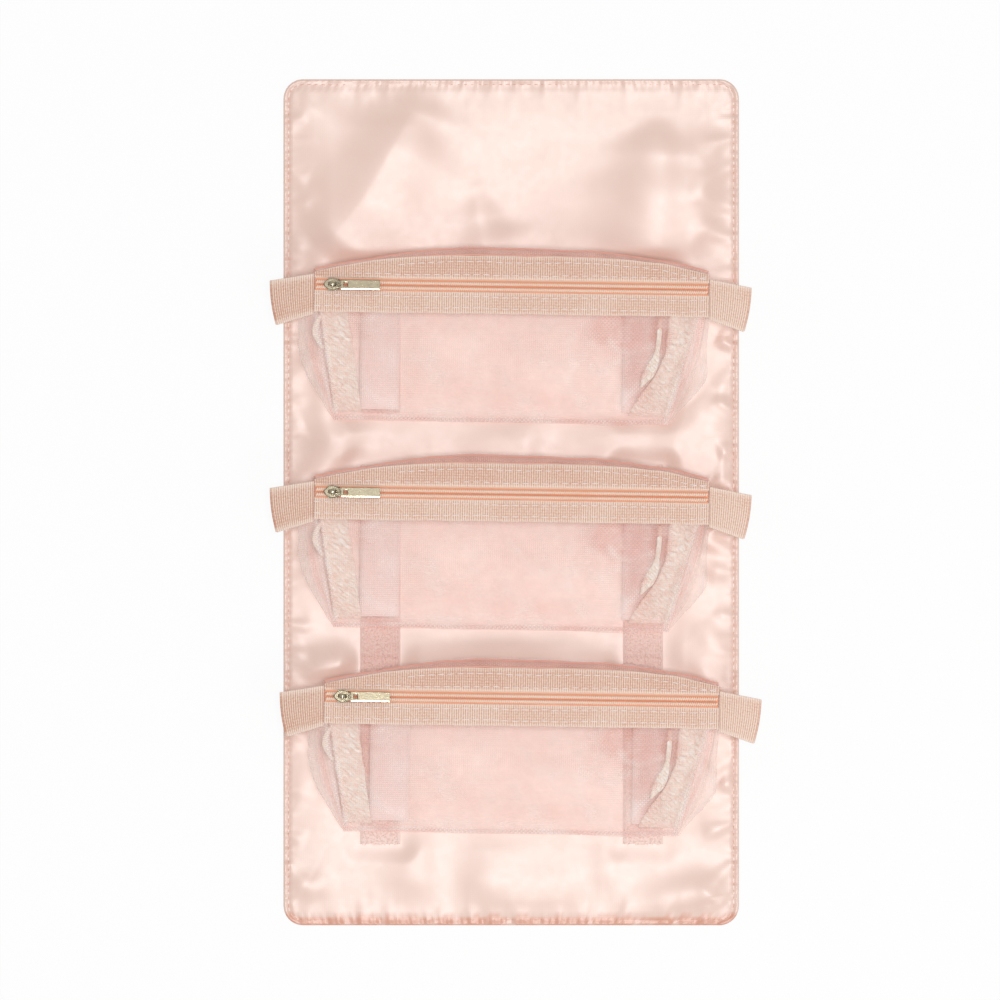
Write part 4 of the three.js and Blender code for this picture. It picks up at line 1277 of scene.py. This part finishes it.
    def zip_half(self, half):
        """A tape and its coil row."""
        sign = 1 if half == "upper" else -1
        x = np.linspace(-ZIP_HALF, ZIP_HALF, 120)[:, None]
        y = np.array([0.15, 0.7, 1.4, 2.1, 2.6, 2.9, 3.2, 3.6, 4.4, 5.4, 6.4])[None, :] * sign
        if sign < 0:
            y = y[:, ::-1]
        z = TAPE_LEVEL + np.exp(-(((np.abs(y) - 2.95) / 0.5) ** 2)) + 0 * x
        middle = np.stack(np.broadcast_arrays(x, y, z), axis=2)
        piece = self.strip(f"zip_{half}_tape", middle, 0.6, tape_cloth, middle[:, :, :2])
        self.finish(piece, "pouch", "zip", f"zip_{half}")
        length = 240.0
        values = {
            "Turns": length / COIL_PITCH,
            "Length": length * MM,
            "Half width": 0.8 * MM,
            "Half height": 0.35 * MM,
            "Wire": 0.5 * MM,
            "Material": coil_wire,
        }
        coil = smoothed(run_group(self.label(f"zip_{half}_coil"), zip_coil, values))
        moved(coil, lambda p: self.placed(p + [-length / 2, sign * CHAIN_CENTRE, COIL_LEVEL]))
        self.finish(coil, "pouch", "zip")

    def ribbon(self, side):
        """The satin tape that binds a front seam inside, gathered and creased."""
        inward = 1 if side == "left" else -1
        share = np.linspace(0.93, 0.1, 60)[:, None]
        across = np.linspace(0, 1, 15)[None, :]
        y = FRONT_TOP + (BOTTOM_SEAM - FRONT_TOP) * share + 0 * across
        width = RIBBON_WIDTH + 0 * share
        if side == "right":
            width = RIBBON_WIDTH + 11.0 * smooth(share, 0.45, 0.95) - 3.5 * smooth(share, 0.12, 0.4)
        start = 1.0 if side == "left" else 1.5
        gather = ripples(y, across * 8, 4.0, 61) * 0.5
        x = seam_x(side, y) + inward * (start + width * across + gather * across)
        level = front_level(y) - 2.4
        creases = 0.55 * ripples(y * 1.6 + across * 9, across * 16, 4.2, 63)
        creases = creases + 0.5 * ripples(y, across * 16, 9.0, 65)
        slack = smooth(across * width, 0, 6)
        z = level - 0.9 - 1.2 * slack + creases * (0.35 + 0.65 * slack)
        if inward > 0:
            x, y, z = x[:, ::-1], y[:, ::-1], z[:, ::-1]
        middle = np.stack([x, y, z], axis=2)
        cloth = arc_lengths(middle)
        piece = self.strip(f"{side}_ribbon_tape", middle, 0.5, ribbon_satin, cloth, rim=0.5)
        self.finish(piece, "pouch", "ribbon", f"{side}_ribbon")
        self.ribbon_fold(side)

    def ribbon_fold(self, side):
        """A ribbon's loose edge, clear of it: a narrow fold at the right, a small loop at the left."""
        share = np.linspace(0, 1, 40)[:, None]
        across = np.linspace(-0.5, 0.5, 7)[None, :]
        if side == "right":
            knots = [0, 0.45, 0.65, 0.82, 1]
            path_y = np.interp(share, knots, [-18.0, -35.0, -44.0, -52.5, -60.0])
            path_x = np.interp(share, knots, [91.5, 90.2, 88.6, 84.6, 80.0])
            width = 2.6 + 4.6 * smooth(share, 0.5, 0.78) - 5.6 * smooth(share, 0.82, 1.0)
        else:
            path_y = -19.0 - 20.0 * share
            path_x = -117.0 + 1.4 * share - 4.2 * np.sin(np.pi * share)
            width = 2.0 + 1.2 * np.sin(np.pi * share)
        x = path_x + width * across + 0.3 * ripples(path_y, 0 * path_y, 5.0, 66)
        y = path_y + 0 * across
        z = front_level(y) - 1.9 + 0.25 * np.cos(np.pi * across)
        z = z + 0.2 * ripples(y * 1.5, across * 6, 3.0, 67)
        middle = np.stack([x, y, z], axis=2)[:, ::-1][::-1]
        cloth = arc_lengths(middle)
        piece = self.strip(f"{side}_ribbon_fold", middle, 0.4, ribbon_satin, cloth, rim=0.5)
        self.finish(piece, "pouch", "ribbon")

    def tab(self, side):
        """A pull tab: webbing folded flat on itself, both ends held at the zip's end."""
        outward = -1 if side == "left" else 1
        radius = 0.7
        level = PANEL_LEVEL + WEBBING / 2 - 0.4 - radius
        layer = np.linspace(0, 1, 14)
        turn = np.linspace(0, 1, 9)[1:-1]
        share = np.concatenate([layer, np.ones(len(turn)), layer[::-1]])[:, None]
        angle = np.concatenate([np.zeros(len(layer)), turn, np.ones(len(layer))])[:, None]
        beyond = radius * np.sin(np.pi * angle)
        lift = radius * np.cos(np.pi * angle)
        side_share = np.linspace(0, 1, 13)[None, :]
        width = 24.0 + 2.5 * share
        length = 26.0 if side == "left" else 24.7
        out = (length - 4.0 * side_share + 0.9 * np.sin(np.pi * side_share)) * share + beyond
        x = outward * (PANEL_HALF + 0.4 + out)
        y = -5.8 - 5.8 * share + width * (0.5 - side_share)
        cup = 0.9 * np.sin(np.pi * share) * (1 - (2 * side_share - 1) ** 2)
        z = level - TAB_DROOP * share**1.15 + lift + cup + 0.25 * ripples(x, y, 11.0, 71 + outward) * share
        crease = np.exp(-(((share - 0.1) / 0.05) ** 2)) * (0.35 if side == "right" else 0.2)
        z = z - crease
        if outward < 0:
            x, y, z = x[:, ::-1], y[:, ::-1], z[:, ::-1]
        middle = np.stack([x, y, z], axis=2)[:, ::-1]
        cloth = np.stack(np.broadcast_arrays(length * share, 24 * side_share), axis=2)
        # The right tab faces the lamp, so painted light makes it paler
        worn = 0.0 if side == "left" else 0.3
        piece = self.strip(f"{side}_tab_tape", middle, WEBBING, webbing_cloth, cloth, worn)
        self.finish(piece, "pouch", "webbing", f"{side}_tab")

    def hook_strip(self, side):
        """A hook strip on the back: its tape, its hooks underneath and the stitches round it."""
        low, high = HOOK_SPAN
        centre = STRIP_X[side]
        middle = strip_grid(centre, low, high, 0.9)
        ground = self.strip(f"{side}_hook_tape", middle, 0.6, hook_ground, middle[:, :, [1, 0]])
        values = {
            "Width": (STRIP_WIDTH - 3.0) * MM,
            "Length": (high - low - 3.0) * MM,
            "Spacing": 2.1 * MM,
            "Height": 1.1 * MM,
            "Seed": 5,
            "Material": hook_ground,
        }
        field = run_group(self.label(f"{side}_hooks"), hooks, values)
        half_way = (low + high) / 2
        moved(field, lambda p: self.placed(np.array([centre, half_way, 0.62]) + p[:, [1, 0, 2]] * [1, 1, -1]))
        edge = STRIP_WIDTH / 2 - STRIP_STITCH_INSET
        low, high = low + STRIP_STITCH_INSET, high - STRIP_STITCH_INSET
        box = [(-edge, low), (edge, low), (edge, high), (-edge, high), (-edge, low)]
        path = [(centre + x, y, 1.25) for x, y in box]
        sewn = self.sew(f"{side}_hook_stitches", [path], "strip")
        self.finish(ground, "pouch", "hook_and_loop", f"{side}_hook_strip")
        self.finish(field, "pouch", "hook_and_loop")
        self.finish(sewn, "pouch", "hook_and_loop")

    def seam_threads(self):
        """The pale overlock thread along the front's two side seams and its bottom seam."""
        y = np.linspace(FRONT_TOP - 4, BOTTOM_SEAM + 1.2, 40)
        paths = []
        for side, inward in (("left", 1), ("right", -1)):
            paths.append(np.stack([seam_x(side, y) + inward * 1.6, y, front_level(y) + 0.25], axis=1))
        x = np.linspace(-106.0, 95.0, 70)
        low = BOTTOM_SEAM + 1.6 + 0 * x
        paths.append(np.stack([x, low, front_level(low) + 0.3], axis=1))
        self.finish(self.sew("seam_stitches", paths, "seam"), "pouch", "mesh")

    def make(self):
        self.front_panel()
        self.back_panel()
        for side in ("left", "right"):
            self.gusset(side)
            self.ribbon(side)
            self.tab(side)
            self.hook_strip(side)
        for half in ("upper", "lower"):
            self.webbing(half)
            self.zip_half(half)
        self.seam_threads()
        self.slider()
        self.pull()

    def slider(self):
        """The slider: two domed plates, their lips, the neck and the bridge."""
        outline = [(-5.3, 0.3), (-4.6, 1.4), (-3.2, 2.8), (-1.5, 3.75), (0.6, 3.75), (4.4, 2.5), (5.0, 2.1)]
        outline += [(x, -y) for x, y in reversed(outline)]
        top = plate("top", [outline], 1.2, 0.5, 29.1)
        under = plate("under", [outline], 1.2, 0.35, 24.7)
        lip = [(-2.8, 3.05), (4.8, 3.05), (4.8, 3.15), (-1.6, 3.8), (-2.8, 3.5)]
        lips = [plate("lip", [[(x, s * y) for x, y in lip]], 1.9, 0.04, 28.5) for s in (1, -1)]
        neck = plate("neck", [[(-3.8, -0.3), (-0.8, -0.3), (-0.8, 0.3), (-3.8, 0.3)]], 4.4, 0.05, 26.9)
        turn = np.linspace(0, np.pi, 17)
        arc = np.stack([-2.35 * np.cos(turn), 0 * turn, 29.2 + 3.25 * np.sin(turn) ** 0.7], axis=1)
        wide = np.linspace(1.0, -1.0, 7)
        middle = arc[:, None, :] + np.stack([0 * wide, wide, -0.12 * wide**2], axis=1)[None]
        rings, faces, _ = slab(middle, 0.7, 0.4)
        bridge = make_piece("bridge", rings, faces, nickel)
        piece = merged(self.label("slider_casting"), [top, under, *lips, neck, bridge], nickel)
        axis = np.array([0.0, 0.0, 28.0])
        moved(piece, lambda p: self.placed(rolled(p - axis, METAL_ROLL) + axis + [SLIDER_X, 0, 0]))
        self.finish(piece, "slider", "nickel", "slider")

    def pull(self):
        """The pull: a link round the bridge and a flat bar with a window, lying rolled on the chain."""
        link_half, rail, length = 2.3, 0.9, 5.2
        link = [(-0.6, 0.5 - link_half), (-0.1, -link_half), (length + 0.3, -link_half)]
        link += [(x, -y) for x, y in reversed(link)]
        inside = link_half - rail
        opening = [(0.6, -inside), (0.6, inside), (length, inside), (length, -inside)]
        bar = [(length, -2.5), (length + 24.1, -2.5), (length + 24.1, 2.95), (length, 2.95)]
        near, far = length + 1.6, length + 4.3
        window = [(near, -1.35), (near, 1.35), (far, 1.35), (far, -1.35)]
        near, far = length + 0.1, length + 24.0
        lip = [(near, -3.0), (far, -3.0), (far, -2.35), (near, -2.35)]
        lip = plate("lip", [lip], 1.1, 0.12, 0.0)
        centre = np.array([0.0, -2.6, 0.0])
        moved(lip, lambda p: rolled(p - centre, -METAL_ROLL) + centre)
        link = plate("link", [link, opening], 1.0, 0.3, 0.0)
        bar = plate("bar", [bar, window], 1.2, 0.28, 0.0)
        piece = merged(self.label("pull_bar"), [link, bar, lip], nickel)
        tilt = math.radians(3)

        def carried(p):
            p = rolled(p, METAL_ROLL)
            x = p[:, 0] * math.cos(tilt) + p[:, 2] * math.sin(tilt)
            z = p[:, 2] * math.cos(tilt) - p[:, 0] * math.sin(tilt)
            return self.placed(np.stack([x + SLIDER_X, p[:, 1], z + PULL_AXIS_LEVEL], axis=1))

        moved(piece, carried)
        self.finish(piece, "pull", "nickel", "pull")


def rolled(points, angle):
    """Points turned about the X axis."""
    y = points[:, 1] * math.cos(angle) - points[:, 2] * math.sin(angle)
    z = points[:, 1] * math.sin(angle) + points[:, 2] * math.cos(angle)
    return np.stack([points[:, 0], y, z], axis=1)


def plate(name, outlines, thickness, bevel, level):
    """A flat plate with rounded edges about a level: its outline, then its holes' outlines.

    The curve is drawn in whole units, which the last line turns to millimetres.
    """
    curve = bpy.data.curves.new(name, "CURVE")
    curve.dimensions = "2D"
    curve.fill_mode = "BOTH"
    curve.extrude = thickness / 2 - bevel
    curve.bevel_depth = bevel
    curve.bevel_resolution = 2
    curve.offset = -bevel
    for outline in outlines:
        spline = curve.splines.new("POLY")
        spline.points.add(len(outline) - 1)
        spline.points.foreach_set("co", [c for x, y in outline for c in (x, y, 0.0, 1.0)])
        spline.use_cyclic_u = True
    return moved(baked(linked(name, curve)), lambda p: p * MM + [0, 0, level])


def merged(name, parts, material):
    """Several small meshes as one piece, their doubles merged and their faces turned outwards."""
    work = bmesh.new()
    for part in parts:
        work.from_mesh(part.data)
        bpy.data.objects.remove(part)
    bmesh.ops.remove_doubles(work, verts=work.verts, dist=0.002 * MM)
    bmesh.ops.recalc_face_normals(work, faces=work.faces)
    mesh = bpy.data.meshes.new(name)
    work.to_mesh(mesh)
    work.free()
    mesh.materials.clear()
    mesh.materials.append(material)
    mesh.polygons.foreach_set("material_index", np.zeros(len(mesh.polygons), int))
    facing = np.empty(3 * len(mesh.polygons))
    mesh.polygons.foreach_get("normal", facing)
    flatness = np.abs(facing.reshape(-1, 3)[:, 2])
    mesh.set_sharp_from_angle(angle=math.radians(38))
    mesh.polygons.foreach_set("use_smooth", flatness < 0.99)
    # The edge mark: every face that is not level, to be painted darker as a dark reflection
    mark(mesh, "edge", 1 - smooth(flatness, 0.6, 0.97), "FACE")
    return linked(name, mesh)


# Camera, floor and light


def camera():
    """Straight down on the mat from far off, and 614.7 mm across there."""
    away, across = 14.0, 0.6147
    data = bpy.data.cameras.new("camera")
    data.sensor_width = 36.0
    data.lens = data.sensor_width * away / across
    data.clip_end = 80.0
    seen = linked("camera", data)
    seen.location = (-6.9 * MM, 1.4 * MM, away)
    bpy.context.scene.camera = seen


def floor():
    """A white studio table that keeps the bag's shadow."""
    material = bpy.data.materials.new("white_studio_paper")
    material.use_nodes = True
    tree = material.node_tree
    tree.nodes.clear()
    paper = add(tree, "ShaderNodeBsdfDiffuse", {"Color": linear("#fafafa")})
    white = add(tree, "ShaderNodeEmission", {"Color": (1, 1, 1, 1), "Strength": 1.0})
    rays = add(tree, "ShaderNodeLightPath").outputs
    seen = {0: rays["Is Camera Ray"], 1: rays["Is Glossy Ray"]}
    seen = add(tree, "ShaderNodeMath", seen, operation="MAXIMUM")
    seen = add(tree, "ShaderNodeMath", {0: seen, 1: rays["Is Transmission Ray"]}, operation="MAXIMUM")
    share = add(tree, "ShaderNodeMath", {0: seen, 1: 0.9}, operation="MULTIPLY")
    mixed = add(tree, "ShaderNodeMixShader", {0: share, 1: paper, 2: white})
    add(tree, "ShaderNodeOutputMaterial", {0: mixed})
    half = 3000.0
    corners = [(x * half, y * half, -0.3) for x, y in ((-1, -1), (1, -1), (1, 1), (-1, 1))]
    make_piece("floor", corners, [(0, 1, 2, 3)], material)


def light():
    """An even white room, a softbox over the mat and a second one low at the lower right."""
    world = bpy.data.worlds.new("white_room")
    world.use_nodes = True
    ground = world.node_tree.nodes["Background"]
    ground.inputs["Color"].default_value = (1, 1, 1, 1)
    ground.inputs["Strength"].default_value = 0.5
    bpy.context.scene.world = world
    # Name, place, side in metres and watts
    lamps = [
        ("overhead_softbox", (0.55, -0.12, 8.0), 2.0, 213.0),
        ("side_softbox", (1.3, -1.5, 1.7), 0.9, 10.0),
    ]
    for name, place, side, power in lamps:
        data = bpy.data.lights.new(name, "AREA")
        data.size = side
        data.energy = power
        lamp = linked(name, data)
        lamp.location = place
        lamp.rotation_mode = "QUATERNION"
        lamp.rotation_quaternion = (-lamp.location).to_track_quat("-Z", "Y")


camera()
floor()
light()
mat()
hem_stitches()
loop_strips()
for number in POUCH_PLACES:
    Pouch(number).make()

bpy.context.scene.view_settings.view_transform = "Standard"
